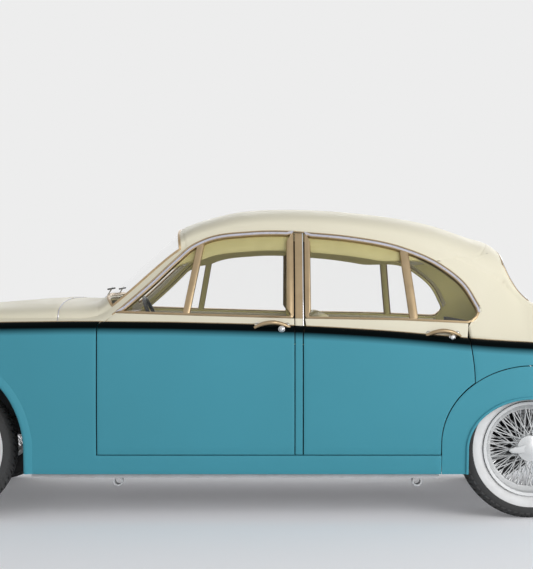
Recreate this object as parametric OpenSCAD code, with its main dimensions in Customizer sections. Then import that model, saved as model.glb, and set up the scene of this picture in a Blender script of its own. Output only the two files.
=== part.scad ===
// Four-door sports saloon of about 1960, two-tone, on wire wheels.
// X runs rearwards, Y to the car's right, Z up; the origin is on the ground under the middle of the car.
// Left-hand pieces are modelled and mirrored for the right.

/* [Overall] */
// Distance between the axles
wheelbase = 2727; // [2720:1:2735]
// Front axle ahead of the middle of the car
front_axle_back = 1496; // [1490:1:1502]
// Overall length over the bumpers
overall_length = 4590; // [4580:1:4600]

/* [Panels] */
// Thickness of a whole door
door_t = 50; // [47:1:53]
// Thickness of the wings and sills
side_t = 36; // [32:1:38]
// Thickness of the bonnet, roof and boot lid
lid_t = 22; // [19:1:25]
// Shut line round a moving panel
shut_gap = 7; // [7:0.1:8]
// Gap round the upper door frames
frame_gap = 11; // [10.5:0.1:12]
// Height of the rounded shoulder under the belt line
shoulder_h = 48; // [42:1:54]
// Width of the bright frame round the side windows
frame_w = 24; // [21:1:27]
// Depth of the bright frame round the side windows
frame_t = 17; // [15:1:19]
// Thickness of the window glass
glass_t = 5; // [4:0.5:6]

/* [Doors] */
// Hinge line of the front door
front_hinge_x = -764; // [-767:1:-761]
// Rear edge of the front door
front_door_end_x = 129; // [126:1:131]
// Hinge line of the rear door
rear_hinge_x = 190; // [188:1:193]
// Bottom edge of the doors
door_bottom_z = 306; // [302:1:310]
// Least radius of the rolled edge on a door's hinge side
nose_min_r = 17; // [16:0.5:18]
// Radius of a door's hinge pin
hinge_pin_r = 5; // [4:0.5:6]

/* [Wheels] */
// Radius of the tyre's tread
tyre_r = 326; // [322:1:330]
// Width of the tyre
tyre_w = 168; // [162:1:172]
// Radius of the rim's flange
rim_r = 218; // [214:1:222]
// Front track
front_track = 1397; // [1390:1:1400]
// Rear track
rear_track = 1346; // [1340:1:1350]
// Spokes in each of the four rows of a wheel
spokes_per_row = 14; // [12:1:15]
// Radius of a spoke
spoke_r = 2.6; // [2.2:0.1:3]

/* [Hidden] */

body_x0 = -2180;
body_x1 = 2190;
front_axle_x = -front_axle_back;
rear_axle_x = front_axle_x + wheelbase;
seam = 0.3;
teal = "#4a97a8";
cream = "#e9e2c8";
bright = "#c9ccd0";
black = "#26272a";
clear = "#b9cdd2";

// Body stations, front to rear. Columns: x, half widths at the sill, the widest line, the belt and the cant rail,
// then heights of the sill, the belt, the cant rail and the centre line.
X = 0; W_SILL = 1; W_SIDE = 2; W_BELT = 3; W_CANT = 4; Z_SILL = 5; Z_BELT = 6; Z_CANT = 7; Z_TOP = 8;
stations = [
    [-2180, 510, 625, 572, 528, 340, 745, 762, 800],
    [-2120, 585, 684, 632, 586, 290, 790, 808, 858],
    [-1980, 675, 750, 700, 658, 245, 842, 862, 920],
    [-1700, 762, 805, 754, 716, 225, 893, 912, 970],
    [-1380, 790, 820, 776, 742, 216, 913, 931, 1000],
    [-1000, 798, 825, 785, 752, 214, 920, 938, 1028],
    [-800, 800, 826, 786, 745, 214, 921, 944, 1032],
    [-700, 800, 826, 786, 725, 214, 920, 1010, 1119],
    [-500, 800, 826, 785, 660, 214, 918, 1190, 1305],
    [-430, 800, 826, 785, 640, 214, 917, 1248, 1366],
    [-344, 800, 826, 785, 620, 214, 915, 1305, 1405],
    [-137, 800, 826, 784, 603, 214, 910, 1358, 1457],
    [70, 800, 826, 783, 600, 214, 904, 1368, 1470],
    [329, 800, 826, 781, 600, 214, 892, 1358, 1462],
    [587, 800, 825, 779, 594, 214, 875, 1320, 1436],
    [794, 799, 824, 777, 586, 214, 857, 1262, 1400],
    [1001, 797, 822, 773, 575, 214, 838, 1172, 1333],
    [1131, 794, 820, 769, 570, 214, 829, 1098, 1281],
    [1167, 793, 819, 768, 580, 214, 827, 1060, 1180],
    [1208, 791, 818, 766, 592, 215, 825, 1018, 1095],
    [1260, 788, 816, 764, 608, 217, 821, 980, 1036],
    [1379, 780, 810, 757, 632, 223, 812, 918, 980],
    [1600, 755, 786, 733, 640, 243, 786, 856, 938],
    [1850, 705, 735, 684, 610, 285, 742, 800, 870],
    [2050, 630, 660, 610, 550, 330, 688, 738, 795],
    [2190, 520, 550, 505, 455, 390, 610, 650, 690],
];

// Smooth interpolation of one column through the stations
function row_of(x, i = 0) = i >= len(stations) - 2 || x < stations[i + 1][X] ? i : row_of(x, i + 1);
function slope(i, c) =
    let (a = max(i - 1, 0), b = min(i + 1, len(stations) - 1))
    (stations[b][c] - stations[a][c]) / (stations[b][X] - stations[a][X]);
function at(x, c) =
    let (i = row_of(x), h = stations[i + 1][X] - stations[i][X], t = (x - stations[i][X]) / h)
    (2 * t^3 - 3 * t^2 + 1) * stations[i][c] + (t^3 - 2 * t^2 + t) * h * slope(i, c)
    + (3 * t^2 - 2 * t^3) * stations[i + 1][c] + (t^3 - t^2) * h * slope(i + 1, c);

// Position round a section: 0 left sill, 1 left belt, 2 left cant rail, 3 centre line, then 4 to 6 on the right
CROWN = 0.8;
function side_zs(x) =
    let (zs = at(x, Z_SILL), zb = at(x, Z_BELT), z_sh = zb - shoulder_h)
    [zs, zs + 0.58 * (z_sh - zs), z_sh, zb];
function low_point(x, s) =
    let (z = side_zs(x), ws = at(x, W_SILL), wd = at(x, W_SIDE), wb = at(x, W_BELT), w_sh = wd - 5)
    s < 1 / 3 ? let (t = 1 - 3 * s) [wd - (wd - ws) * t^2.2, z[1] - t * (z[1] - z[0])] :
    s < 2 / 3 ? let (t = 3 * s - 1) [wd - (wd - w_sh) * t^2, z[1] + t * (z[2] - z[1])] :
    let (a = 90 * (3 * s - 2)) [wb + (w_sh - wb) * cos(a), z[2] + shoulder_h * sin(a)];
function high_point(x, s) =
    let (wb = at(x, W_BELT), wc = at(x, W_CANT), zb = at(x, Z_BELT), zc = at(x, Z_CANT), zt = at(x, Z_TOP))
    s < 2 ? let (t = s - 1) [wb + (wc - wb) * t + 0.04 * (zc - zb) * sin(180 * t), zb + (zc - zb) * t] :
    let (a = 90 * (s - 2)) [wc * max(cos(a), 0)^CROWN, zc + (zt - zc) * sin(a)^CROWN];
function skin(x, s) =
    let (h = min(s, 6 - s), p = h < 1 ? low_point(x, h) : high_point(x, h))
    [x, s > 3 ? p[0] : -p[0], p[1]];
// Point at depth t under the skin
function under(x, s, t) = t == 0 ? skin(x, s) :
    let (n = cross(skin(x + 2, s) - skin(x - 2, s), skin(x, s + 0.01) - skin(x, s - 0.01)))
    skin(x, s) - t * n / norm(n);
// Position round the section at height z on the left side
function s_of(x, z) =
    let (q = side_zs(x), zc = at(x, Z_CANT), zt = at(x, Z_TOP))
    z < q[1] ? (1 - (q[1] - z) / (q[1] - q[0])) / 3 :
    z < q[2] ? (1 + (z - q[1]) / (q[2] - q[1])) / 3 :
    z < q[3] ? (2 + asin((z - q[2]) / shoulder_h) / 90) / 3 :
    z < zc ? 1 + (z - q[3]) / (zc - q[3]) :
    2 + asin(min(1, (z - zc) / (zt - zc))^(1 / CROWN)) / 90;

function mix(a, b, t) = a + (b - a) * t;
// Numbers from a to b in n steps
function steps(a, b, n) = [for (i = [0 : n]) a + (b - a) * i / n];

// A closed sheet between two grids of points; rows run up the car and columns rearwards, seen from the left
module sheet(outer, inner, ring = false) {
    rows = len(outer);
    cols = len(outer[0]);
    m = rows * cols;
    polyhedron(
        points = concat([for (r = outer) for (p = r) p], [for (r = inner) for (p = r) p]),
        faces = concat(
            [for (i = [0 : rows - 2]) for (j = [0 : cols - (ring ? 1 : 2)])
                let (a = i * cols + j, b = i * cols + (j + 1) % cols, c = b + cols, d = a + cols)
                each [[a, d, c], [a, c, b], [m + a, m + b, m + c], [m + a, m + c, m + d]]],
            [for (j = [0 : cols - (ring ? 1 : 2)])
                let (a = j, b = (j + 1) % cols, d = m - cols + a, c = m - cols + b)
                each [[a, b, m + b], [a, m + b, m + a], [c, d, m + c], [d, m + d, m + c]]],
            ring ? [] : [for (i = [0 : rows - 2])
                let (a = i * cols, d = a + cols, b = a + cols - 1, c = b + cols)
                each [[d, a, m + a], [d, m + a, m + d], [b, c, m + c], [b, m + c, m + b]]]),
        convexity = 10);
}

// A sheet of thickness t from a grid of [x, s], starting at depth d under the skin
module panel(grid, t, d = 0, ring = false) {
    sheet(
        [for (r = grid) [for (q = r) under(q[0], q[1], d)]],
        [for (r = grid) [for (q = r) under(q[0], q[1], d + t)]],
        ring);
}
// The same with a depth and a thickness of its own at each point, as [x, s, d, t]
module shaped_panel(grid) {
    sheet(
        [for (r = grid) [for (q = r) under(q[0], q[1], q[2])]],
        [for (r = grid) [for (q = r) under(q[0], q[1], q[2] + q[3])]]);
}

module both_sides() {
    children();
    mirror([0, 1, 0]) children();
}

// Rows of a side panel: part of the way from its foot to the shoulder, then up the shoulder to the belt
SHOULDER = [0.78, 0.89, 1];
function side_s(x, z0, k) = k < 5 ? mix(s_of(x, z0), 2 / 3, k / 4) : SHOULDER[k - 5];

// Rolled hinge edge of the doors: the hinge line lies inside the least half width of the skin
hinge_y = -skin(front_hinge_x, s_of(front_hinge_x, door_bottom_z))[1] - nose_min_r;
function nose_r(x, s) = s < 1 ? max(0, -skin(x, s)[1] - hinge_y) : 0;
// Front edge of a door, leaning back above the shoulder, and the edge of the fixed panel ahead of it
function lean(s, run) = run * max(0, s - 0.8) / 0.2;
function edge_x(xh, s, run) = xh + lean(min(s, 1), run);
function lip_x(xh, s, run) =
    let (r = nose_r(xh, s), g = shut_gap + 0.6 + lean(min(s, 1), 4))
    (r > 0 ? xh : edge_x(xh, s, run)) - max(sqrt((r + g)^2 - r^2), r * tan(DOOR_SWING / 2) + g);
function lip_inner_x(xh, s) = xh - 1.5 * (nose_r(xh, min(s, SHOULDER[0])) + shut_gap + 0.6);
FRONT_RUN = 20;
DOOR_SWING = 65;
REAR_RUN = 0;

// Wheel cut-outs in side view: [centre z, half length, height]
FRONT_ARCH = [326, 374, 415];
SPAT = [360, 420, 356];
SPAT_OPENING = [330, 300, 234];
function arch_z(x, cx, arch, grow = 0) =
    let (t = (x - cx) / (arch[1] + grow))
    abs(t) > 1.0001 ? at(x, Z_SILL) : arch[0] + (arch[2] + grow) * sqrt(max(0, 1 - t^2));
function arch_xs(cx, arch, a0, a1, n, grow = 0) = [for (a = steps(a0, a1, n)) cx - (arch[1] + grow) * cos(a)];

// Wing ahead of the front door
module front_wings() {
    xs = concat(
        steps(body_x0, front_axle_x - FRONT_ARCH[1] - 1, 5),
        arch_xs(front_axle_x, FRONT_ARCH, 0, 180, 14),
        [front_axle_x + FRONT_ARCH[1] + 1, mix(front_axle_x + FRONT_ARCH[1], front_hinge_x, 0.5)]);
    z0 = [for (x = xs) arch_z(x, front_axle_x, FRONT_ARCH)];
    last_s = [for (k = [0 : 7]) side_s(front_hinge_x, at(front_hinge_x, Z_SILL), k)];
    outer = [for (k = [0 : 7]) concat(
        [for (j = [0 : len(xs) - 1]) skin(xs[j], side_s(xs[j], z0[j], k))],
        [skin(lip_x(front_hinge_x, last_s[k], FRONT_RUN), last_s[k])])];
    inner = [for (k = [0 : 7]) concat(
        [for (j = [0 : len(xs) - 1]) under(xs[j], side_s(xs[j], z0[j], k), side_t)],
        [under(lip_inner_x(front_hinge_x, last_s[k]), last_s[k], side_t)])];
    color(teal) both_sides() difference() {
        sheet(outer, inner);
        lamp_room();
    }
}

// Bottom line of the windows
WINDOW_SILL = [[-770, 962], [-311, 947], [110, 935], [625, 926], [1010, 908]];
function sill_s(x) = s_of(x, lookup(x, WINDOW_SILL));
function door_s(x, z0, k) = k < 8 ? side_s(x, z0, k) : sill_s(x);

// A door as a whole, from its rolled front edge to rear_xs; fracs and feet give its columns and bottom edge
module door_panel(xh, run, rear_xs, fracs, feet) {
    rows = [for (k = [0 : 8]) let (s = door_s(xh, feet[0], k), x0 = k == 8 ? xh + run * 2.4 : edge_x(xh, s, run))
        [for (f = fracs) mix(x0, rear_xs[k], f)]];
    s_at = function (k, j) door_s(rows[k][j], feet[j], k);
    outer = [for (k = [0 : 8])
        let (x0 = rows[k][0], s0 = s_at(k, 0), a = skin(x0, s0), b = under(x0, s0, door_t), r = nose_r(xh, s0))
        concat(
            [for (i = [4 : -1 : 1]) r > 3
                ? [x0 - r * sin(20 * i), -hinge_y - r * cos(20 * i), a[2]] : mix(a, b, i / 9)],
            [for (j = [0 : len(fracs) - 1]) skin(rows[k][j], s_at(k, j))])];
    inner = [for (k = [0 : 8])
        let (x0 = rows[k][0], s0 = s_at(k, 0), a = skin(x0, s0), b = under(x0, s0, door_t), r = nose_r(xh, s0),
             d = b[1] + hinge_y)
        concat(
            [for (i = [4 : -1 : 1]) r > 3
                ? [x0 - r * sin(20 * i), -hinge_y + d * cos(20 * i), mix(a[2], b[2], 1 - i / 9)] : mix(b, a, i / 9)],
            [for (j = [0 : len(fracs) - 1]) under(rows[k][j], s_at(k, j), door_t)])];
    sheet(outer, inner);
}

module front_door_panel() {
    color(teal) door_panel(front_hinge_x, FRONT_RUN, [for (k = [0 : 8]) front_door_end_x],
        steps(0, 1, 8), [for (i = [0 : 8]) door_bottom_z]);
}

// Rear edge of the rear door from its foot over the wheel to the window sill
REAR_EDGE = [963, 962, 959, 954, 948, 944, 940, 936, 944];
module rear_door_panel() {
    over = arch_xs(rear_axle_x, SPAT, 0, 50, 6, shut_gap);
    low = steps(rear_hinge_x, over[0] - 1, 6);
    x1 = over[6];
    fracs = [for (x = concat(low, over)) (x - rear_hinge_x) / (x1 - rear_hinge_x)];
    feet = concat([for (x = low) door_bottom_z], [for (x = over) arch_z(x, rear_axle_x, SPAT, shut_gap)]);
    color(teal) door_panel(rear_hinge_x, REAR_RUN, [for (k = [0 : 8]) x1 + REAR_EDGE[k] - REAR_EDGE[0]], fracs, feet);
}

// Columns of the spat, and those of the wing above it
SPAT_XS = concat(
    [for (t = steps(0, 40, 5)) rear_axle_x - SPAT[1] * cos(t)],
    [rear_axle_x - SPAT_OPENING[1] - 1],
    arch_xs(rear_axle_x, SPAT_OPENING, 0, 180, 12),
    [rear_axle_x + SPAT_OPENING[1] + 1],
    [for (t = steps(140, 180, 5)) rear_axle_x - SPAT[1] * cos(t)]);

// Wing behind the rear door, down to the spat
module rear_wings() {
    x0 = rear_axle_x - SPAT[1] * cos(52);
    over = concat([x0], [for (x = SPAT_XS) if (x > x0 + 8) x]);
    xs = concat(over, steps(rear_axle_x + SPAT[1] + 2, body_x1, 6));
    z0 = [for (x = xs) arch_z(x, rear_axle_x, SPAT) + seam];
    shift = [for (k = [0 : 7]) REAR_EDGE[k] - REAR_EDGE[0]];
    grid = [for (k = [0 : 7]) [for (j = [0 : len(xs) - 1])
        let (x = xs[j] + shift[k] * max(0, 1 - j / 4)) [x, side_s(x, z0[j], k)]]];
    color(teal) both_sides() panel(grid, side_t);
}

// Panel over the rear wheel, open round the hub
module spats() {
    grid = [for (f = steps(0, 1, 3)) [for (x = SPAT_XS)
        let (low = s_of(x, arch_z(x, rear_axle_x, SPAT_OPENING)), high = s_of(x, arch_z(x, rear_axle_x, SPAT)))
        [x, mix(low, high, f)]]];
    color(teal) both_sides() panel(grid, 13);
}

// Sill under the doors
sill_top_z = door_bottom_z - shut_gap - 3;
module sills() {
    xs = steps(lip_x(front_hinge_x, 0, FRONT_RUN) + 0.3, rear_axle_x - SPAT[1] - seam, 10);
    grid = [for (f = [0, 0.5, 1]) [for (x = xs)
        [x, mix(0, s_of(x, sill_top_z), f)]]];
    color(teal) both_sides() panel(grid, side_t);
}

// Outline of the side windows with their bright frame, front to rear, as [x, z]
WINDOW_LINE = [[-758, 920], [-547, 1104], [-430, 1216], [-360, 1277], [-290, 1312], [-79, 1345], [116, 1347],
               [207, 1340], [398, 1322], [636, 1275], [827, 1192], [946, 1092], [1003, 990]];
function unit(v) = v / norm(v);
function left_of(a, b) = let (d = unit(b - a)) [-d[1], d[0]];
function mitre(p, n1, n2, d) = p + d * (n1 + n2) / (1 + n1 * n2);
// An open line moved to its left by d, and a closed clockwise loop moved inwards by d
function moved_line(q, d) = let (e = len(q) - 1) [for (i = [0 : e])
    mitre(q[i], left_of(q[max(i - 1, 0)], q[max(i, 1)]), left_of(q[min(i, e - 1)], q[min(i + 1, e)]), d)];
function moved_loop(q, d) = let (n = len(q)) [for (i = [0 : n - 1])
    mitre(q[i], left_of(q[(i + n - 1) % n], q[i]), left_of(q[i], q[(i + 1) % n]), -d)];
APERTURE = moved_line(WINDOW_LINE, frame_gap);
function aperture_s(x) = s_of(x, lookup(x, APERTURE));
function on_side(q) = [q[0], s_of(q[0], q[1])];

// Edges between the upper panels, by distance a from the centre line (0) to the window (1)
SCREEN_BASE_X = -800;
CORNER_X = -738;
function header_x(a) = mix(-432, -400, a^2);
function roof_end_x(a) = mix(1100, 800, a^2);
function base_x(a) = mix(SCREEN_BASE_X, CORNER_X, a^2);
function across(x, c) = let (s = 3 - abs(c) * (3 - aperture_s(x))) [x, c < 0 ? s : 6 - s];
CROSS = steps(-1, 1, 12);
CROWN_ROWS = [1.2, 1.6, 2, 2.16, 2.32, 2.5, 2.66, 2.83, 3, 3.17, 3.34, 3.5, 3.68, 3.84, 4, 4.4, 4.8];
bonnet_rear_x = -975;
boot_front_x = 1409;
lid_gap = 12;
lid_edge_t = 8;
scuttle_drop = 8;
bonnet_front_x = body_x0 + 12;
boot_rear_x = body_x1 - 12;

module bonnet_skin() {
    xs = concat([0, 40, 90, 150, 220] + [for (i = [1 : 5]) bonnet_front_x], steps(-1850, bonnet_rear_x - 70, 5));
    shaped_panel([for (s = CROWN_ROWS) concat([for (x = xs) [x, s, 0, lid_t]],
        [[bonnet_rear_x - 60, s, 0, lid_edge_t], [bonnet_rear_x, s, 0, lid_edge_t]])]);
}

module boot_skin() {
    xs = concat(steps(boot_front_x + 70, 1950, 4), [2020, 2080, 2130, boot_rear_x]);
    shaped_panel([for (s = CROWN_ROWS) concat(
        [[boot_front_x, s, 0, lid_edge_t], [boot_front_x + 60, s, 0, lid_edge_t]], [for (x = xs) [x, s, 0, lid_t]])]);
}

// Panel between the bonnet and the windscreen
module scuttle() {
    x0 = bonnet_rear_x + lid_gap;
    ends = concat([[lip_x(front_hinge_x, 1, FRONT_RUN), 1.004]],
        [for (c = CROSS) across(base_x(abs(c)) - seam, c)],
        [[lip_x(front_hinge_x, 1, FRONT_RUN), 4.996]]);
    color(cream) shaped_panel([for (e = ends) let (t = abs(e[1] - 3) > 1.9 ? lid_edge_t : lid_t)
        [for (f = steps(0, 1, 4)) [mix(x0, e[0], f), e[1], scuttle_drop * (1 - f), mix(lid_edge_t, t, f)]]]);
}

// Pillars, header and foot round the windscreen
SCREEN_S = 2.12;
function screen_base(s) = lookup(min(s, 6 - s), [[SCREEN_S, -722], [2.5, -762], [3, -778]]);
function screen_head(s) = lookup(min(s, 6 - s), [[SCREEN_S, -430], [2.4, -440], [3, -448]]);
module screen_frame() {
    n = 6;
    up = steps(SCREEN_S, 6 - SCREEN_S, 12);
    along = [for (i = [1 : n - 1]) i / n];
    back = [for (i = [n - 1 : -1 : 1]) i / n];
    flip = [for (i = [12 : -1 : 0]) i];
    outer = concat(
        [for (c = CROSS) across(base_x(abs(c)), c)],
        [for (f = along) across(mix(CORNER_X, header_x(1), f), 1)],
        [for (i = flip) across(header_x(abs(CROSS[i])), CROSS[i])],
        [for (f = back) across(mix(CORNER_X, header_x(1), f), -1)]);
    inner = concat(
        [for (s = up) [screen_base(s), s]],
        [for (f = along) [mix(screen_base(SCREEN_S), screen_head(SCREEN_S), f), 6 - SCREEN_S]],
        [for (i = flip) [screen_head(up[i]), up[i]]],
        [for (f = back) [mix(screen_base(SCREEN_S), screen_head(SCREEN_S), f), SCREEN_S]]);
    color(cream) panel([inner, [for (i = [0 : len(inner) - 1]) mix(inner[i], outer[i], 0.5)], outer], lid_t, 0, true);
}

module windscreen() {
    grid = [for (s = steps(SCREEN_S + 0.01, 6 - SCREEN_S - 0.01, 12)) [for (f = steps(0, 1, 4))
        [mix(screen_base(s) + 1.2, screen_head(s) - 2.2, f), s]]];
    color(clear) panel(grid, glass_t, 4);
}

module roof() {
    grid = [for (c = CROSS) [for (f = concat(steps(0, 0.15, 5), steps(0.25, 1, 9)))
        across(mix(header_x(abs(c)) + seam, roof_end_x(abs(c)) - 9 * seam, f), c)]];
    color(cream) panel(grid, lid_t);
}

// Rear quarters and the panel round the rear window, down to the belt and the boot lid
BACK_S = 2.3;
BACK_TOP_X = 1138;
BACK_FOOT_X = 1252;
module rear_quarters() {
    x1 = boot_front_x - lid_gap;
    flip = [for (i = [12 : -1 : 0]) i];
    up = steps(BACK_S, 6 - BACK_S, 12);
    foot = steps(1.004, 4.996, 12);
    side = concat(
        [for (x = [1290, 1180, 1070, REAR_EDGE[7] + 10]) [x, 1.004]],
        [for (q = [[966, 891], [1020, 915], [1034, 985]]) on_side(q)],
        [on_side(APERTURE[11] + [5, 3]), on_side([875, lookup(875, APERTURE)])]);
    n = len(side);
    mirrored = [for (i = [n - 1 : -1 : 0]) [side[i][0], 6 - side[i][1]]];
    outer = concat([for (c = CROSS) across(roof_end_x(abs(c)), c)], mirrored,
        [for (i = flip) [x1, foot[i]]], side);
    inner = concat([for (s = up) [BACK_TOP_X, s]],
        [for (i = [1 : n]) [mix(BACK_TOP_X, BACK_FOOT_X, i / (n + 1)), 6 - BACK_S]],
        [for (i = flip) [BACK_FOOT_X, up[i]]],
        [for (i = [n : -1 : 1]) [mix(BACK_TOP_X, BACK_FOOT_X, i / (n + 1)), BACK_S]]);
    color(cream) panel([for (f = steps(0, 1, 4)) [for (i = [0 : len(inner) - 1]) mix(inner[i], outer[i], f)]],
        lid_t, 0, true);
}

module rear_window() {
    grid = [for (s = steps(BACK_S + 0.006, 6 - BACK_S - 0.006, 12)) [for (f = steps(0, 1, 5))
        [mix(BACK_TOP_X + 0.7, BACK_FOOT_X - 0.7, f), s]]];
    color(clear) panel(grid, glass_t, 4);
}

// Side window outlines of each door: the line over the glass, then back along the window sill
function sill_point(x) = [x, lookup(x, WINDOW_SILL) + seam];
FRONT_TOP = concat([sill_point(-706)], [for (i = [1 : 5]) WINDOW_LINE[i]], [[115, 1347]]);
FRONT_FOOT = [for (x = [123, -100, -311, -500]) sill_point(x)];
REAR_TOP = concat([[184, 1342]], [for (i = [7 : 12]) WINDOW_LINE[i]]);
REAR_FOOT = concat([[986, 937]], [for (x = [942, 790, 625, 400, 184]) sill_point(x)]);

function refined(q) = let (n = len(q)) [for (i = [0 : n - 1]) each [q[i], mix(q[i], q[(i + 1) % n], 0.5)]];
module window_frame(top, foot) {
    loop = refined(concat(top, foot));
    inner = moved_loop(loop, frame_w);
    color(bright) panel([[for (q = inner) on_side(q)], [for (q = loop) on_side(q)]], frame_t, 0, true);
}

// Glass within a frame: columns run from its front corner to its rear edge
module side_glass(top, foot, lead, tail) {
    loop = moved_loop(concat(top, foot), frame_w + 1);
    n = len(top);
    upper = [for (i = [0 : n - 1]) loop[i]];
    lower = concat([for (i = [len(loop) - 1 : -1 : n]) loop[i]]);
    base = lead > 0 ? concat([loop[0]], lower) : lower;
    grid = [for (g = [0, 0.5, 1]) [for (f = steps(0, 1, 12))
        let (xt = mix(upper[0][0] + lead, upper[n - 1][0], f),
             xb = mix(base[0][0] + lead, lower[len(lower) - 1 - tail][0], f))
        on_side(mix([xb, lookup(xb, base)], [xt, lookup(xt, upper)], g))]];
    color(clear) panel(grid, glass_t, 8);
}

// Upright bar on the glass from the window sill at x0 to the top rail at x1
module glazing_bar(x0, x1, w, top, foot) {
    loop = moved_loop(concat(top, foot), frame_w - 4);
    n = len(top);
    upper = [for (i = [0 : n - 1]) loop[i]];
    z0 = lookup(x0, WINDOW_SILL) + frame_w - 4;
    grid = [for (f = steps(0, 1, 3)) [for (e = [-w / 2, w / 2])
        on_side(mix([x0 + e, z0], [x1 + e, lookup(x1 + e, upper)], f))]];
    color(bright) panel(grid, 6.5);
}

module rod(p, q, r) {
    d = q - p;
    translate(p) rotate([0, acos(d[2] / norm(d)), atan2(d[1], d[0])]) cylinder(h = norm(d), r = r, $fn = 24);
}

// Door handle from x0 to x1 at height z, on two feet let into the door
HANDLE_OUT = 26;
module handle(x0, x1, z, button_dx) {
    y = skin(x0, s_of(x0, z))[1];
    color(bright) {
        rod([x0, y - HANDLE_OUT, z], [x1, y - HANDLE_OUT, z], 8);
        for (x = [x0 + 10, x1 - 10]) rod([x, y - HANDLE_OUT, z], [x, y + 12, z], 7);
        rod([x1 - button_dx, y - 10, z - 20], [x1 - button_dx, y + 12, z - 20], 11);
    }
}

HINGE_ZS = [430, 780];
EYE_R = 10;
EYE_H = 40;
ARM_IN = 62;
// Room in a door for a hinge eye and its arm
module hinge_room(xh) {
    for (z = HINGE_ZS) {
        translate([xh - 90, -hinge_y - EYE_R - 5.5, z - EYE_H / 2 - 6])
            cube([90 + EYE_R + 6, 120, EYE_H + 12]);
        translate([xh, -hinge_y, z - EYE_H / 2 - 20]) cylinder(h = EYE_H + 40, r = hinge_pin_r, $fn = 32);
    }
}
module hinge_pins(xh) {
    color(bright) for (z = HINGE_ZS)
        translate([xh, -hinge_y, z - EYE_H / 2 - 20]) cylinder(h = EYE_H + 40, r = hinge_pin_r - 0.02, $fn = 32);
}
// Fixed eyes of a door's hinges, with arms to the post whose rear face is at post_x
module hinge_arms(xh, post_x) {
    for (z = HINGE_ZS) difference() {
        translate([0, 0, z - EYE_H / 2]) union() {
            translate([xh, -hinge_y, 0]) cylinder(h = EYE_H, r = EYE_R, $fn = 32);
            translate([xh - 6, -hinge_y, 0]) cube([12, ARM_IN, EYE_H]);
            translate([post_x, -hinge_y + ARM_IN - 12, 0]) cube([xh - post_x + 6, 12, EYE_H]);
        }
        translate([xh, -hinge_y, z - EYE_H]) cylinder(h = 2 * EYE_H, r = hinge_pin_r + 0.05, $fn = 32);
    }
}

module front_door() {
    difference() {
        front_door_panel();
        hinge_room(front_hinge_x);
    }
}
module front_door_trim() {
    window_frame(FRONT_TOP, FRONT_FOOT);
    glazing_bar(-373, -312, 33, FRONT_TOP, FRONT_FOOT);
    handle(-55, 110, 897, 34);
    hinge_pins(front_hinge_x);
}
module rear_door() {
    difference() {
        rear_door_panel();
        hinge_room(rear_hinge_x);
    }
}
module rear_door_trim() {
    window_frame(REAR_TOP, REAR_FOOT);
    glazing_bar(687, 652, 40, REAR_TOP, REAR_FOOT);
    handle(741, 900, 838, 34);
    hinge_pins(rear_hinge_x);
}
module left() { children(); }
module right() { mirror([0, 1, 0]) children(); }

// Posts between the doors, outside and inside, and the hinge posts ahead of the front doors
POST_T = 14;
module door_posts() {
    x0 = front_door_end_x + shut_gap;
    z0 = sill_top_z + seam;
    rear = rear_hinge_x;
    s_at = function (k) k < 8 ? side_s(rear, z0, k) : mix(sill_s(rear), min(aperture_s(x0), aperture_s(172)) - 0.003, (k - 8) / 4);
    lip = function (s) s < 1 ? lip_x(rear, s, REAR_RUN) : 172;
    outer = [for (k = [0 : 12]) let (s = s_at(k)) [skin(x0, s), skin(mix(x0, lip(s), 0.5), s), skin(lip(s), s)]];
    inner = [for (k = [0 : 12]) let (s = s_at(k), x1 = lip(s) - (s < 1 ? 17 : 4))
        [under(x0, s, POST_T), under(mix(x0, x1, 0.5), s, POST_T), under(x1, s, POST_T)]];
    color(cream) both_sides() {
        sheet(outer, inner);
        translate([128, -748, floor_z]) cube([44, 56, 640]);
        translate([-890, -758, floor_z]) cube([60, 70, 660]);
    }
}

module door_hinges() {
    color(black) both_sides() {
        hinge_arms(front_hinge_x, -829.8);
        hinge_arms(rear_hinge_x, 172.2);
    }
}
floor_z = 214;

// Lid hinges: the pin lies under the fixed panel, and a curved arm reaches out round its edge
LID_AXIS_IN = 80;
BONNET_AXIS = [bonnet_rear_x + LID_AXIS_IN, 980];
BOOT_AXIS = [boot_front_x - LID_AXIS_IN, 940];
LID_HINGE_Y = 250;
LID_PIN_R = 6;
// One arm about the Y axis, opening towards -X; the ring runs from under the pin up to the lid
module lid_arm(top_a) {
    rotate([90, 0, 0]) translate([0, 0, -8]) difference() {
        linear_extrude(16) {
            circle(r = 13, $fn = 32);
            rotate(254) translate([0, -6]) square([LID_AXIS_IN + 16, 12]);
            polygon(concat(
                [for (a = steps(180 + top_a, 260, 12)) (LID_AXIS_IN + 22) * [cos(a), sin(a)]],
                [for (a = steps(260, 180 + top_a, 12)) (LID_AXIS_IN + 10) * [cos(a), sin(a)]]));
        }
        translate([0, 0, -1]) cylinder(h = 18, r = LID_PIN_R + 0.05, $fn = 32);
    }
}
module lid_pins(post_h) {
    for (y = [-LID_HINGE_Y, LID_HINGE_Y]) translate([0, y, 0]) {
        rotate([90, 0, 0]) translate([0, 0, -30]) cylinder(h = 60, r = LID_PIN_R, $fn = 32);
        for (e = [-1, 1]) translate([0, e * 24, 0]) lug(post_h);
    }
}
// Fixed lug that holds one end of a pin, with a foot of height h let into the panel above
module lug(h) {
    translate([-10, -6, -10]) cube([70, 12, 17]);
    translate([40, -6, -10]) cube([20, 12, h + 10]);
}

module bonnet() {
    color(cream) union() {
        bonnet_skin();
        for (y = [-LID_HINGE_Y, LID_HINGE_Y])
            translate([BONNET_AXIS[0], y, BONNET_AXIS[1]]) lid_arm(-25);
    }
}

module lid_brackets() {
    color(black) {
        translate([BONNET_AXIS[0], 0, BONNET_AXIS[1]]) lid_pins(29);
        translate([BOOT_AXIS[0], 0, BOOT_AXIS[1]]) mirror([1, 0, 0]) lid_pins(62);
    }
}

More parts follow.
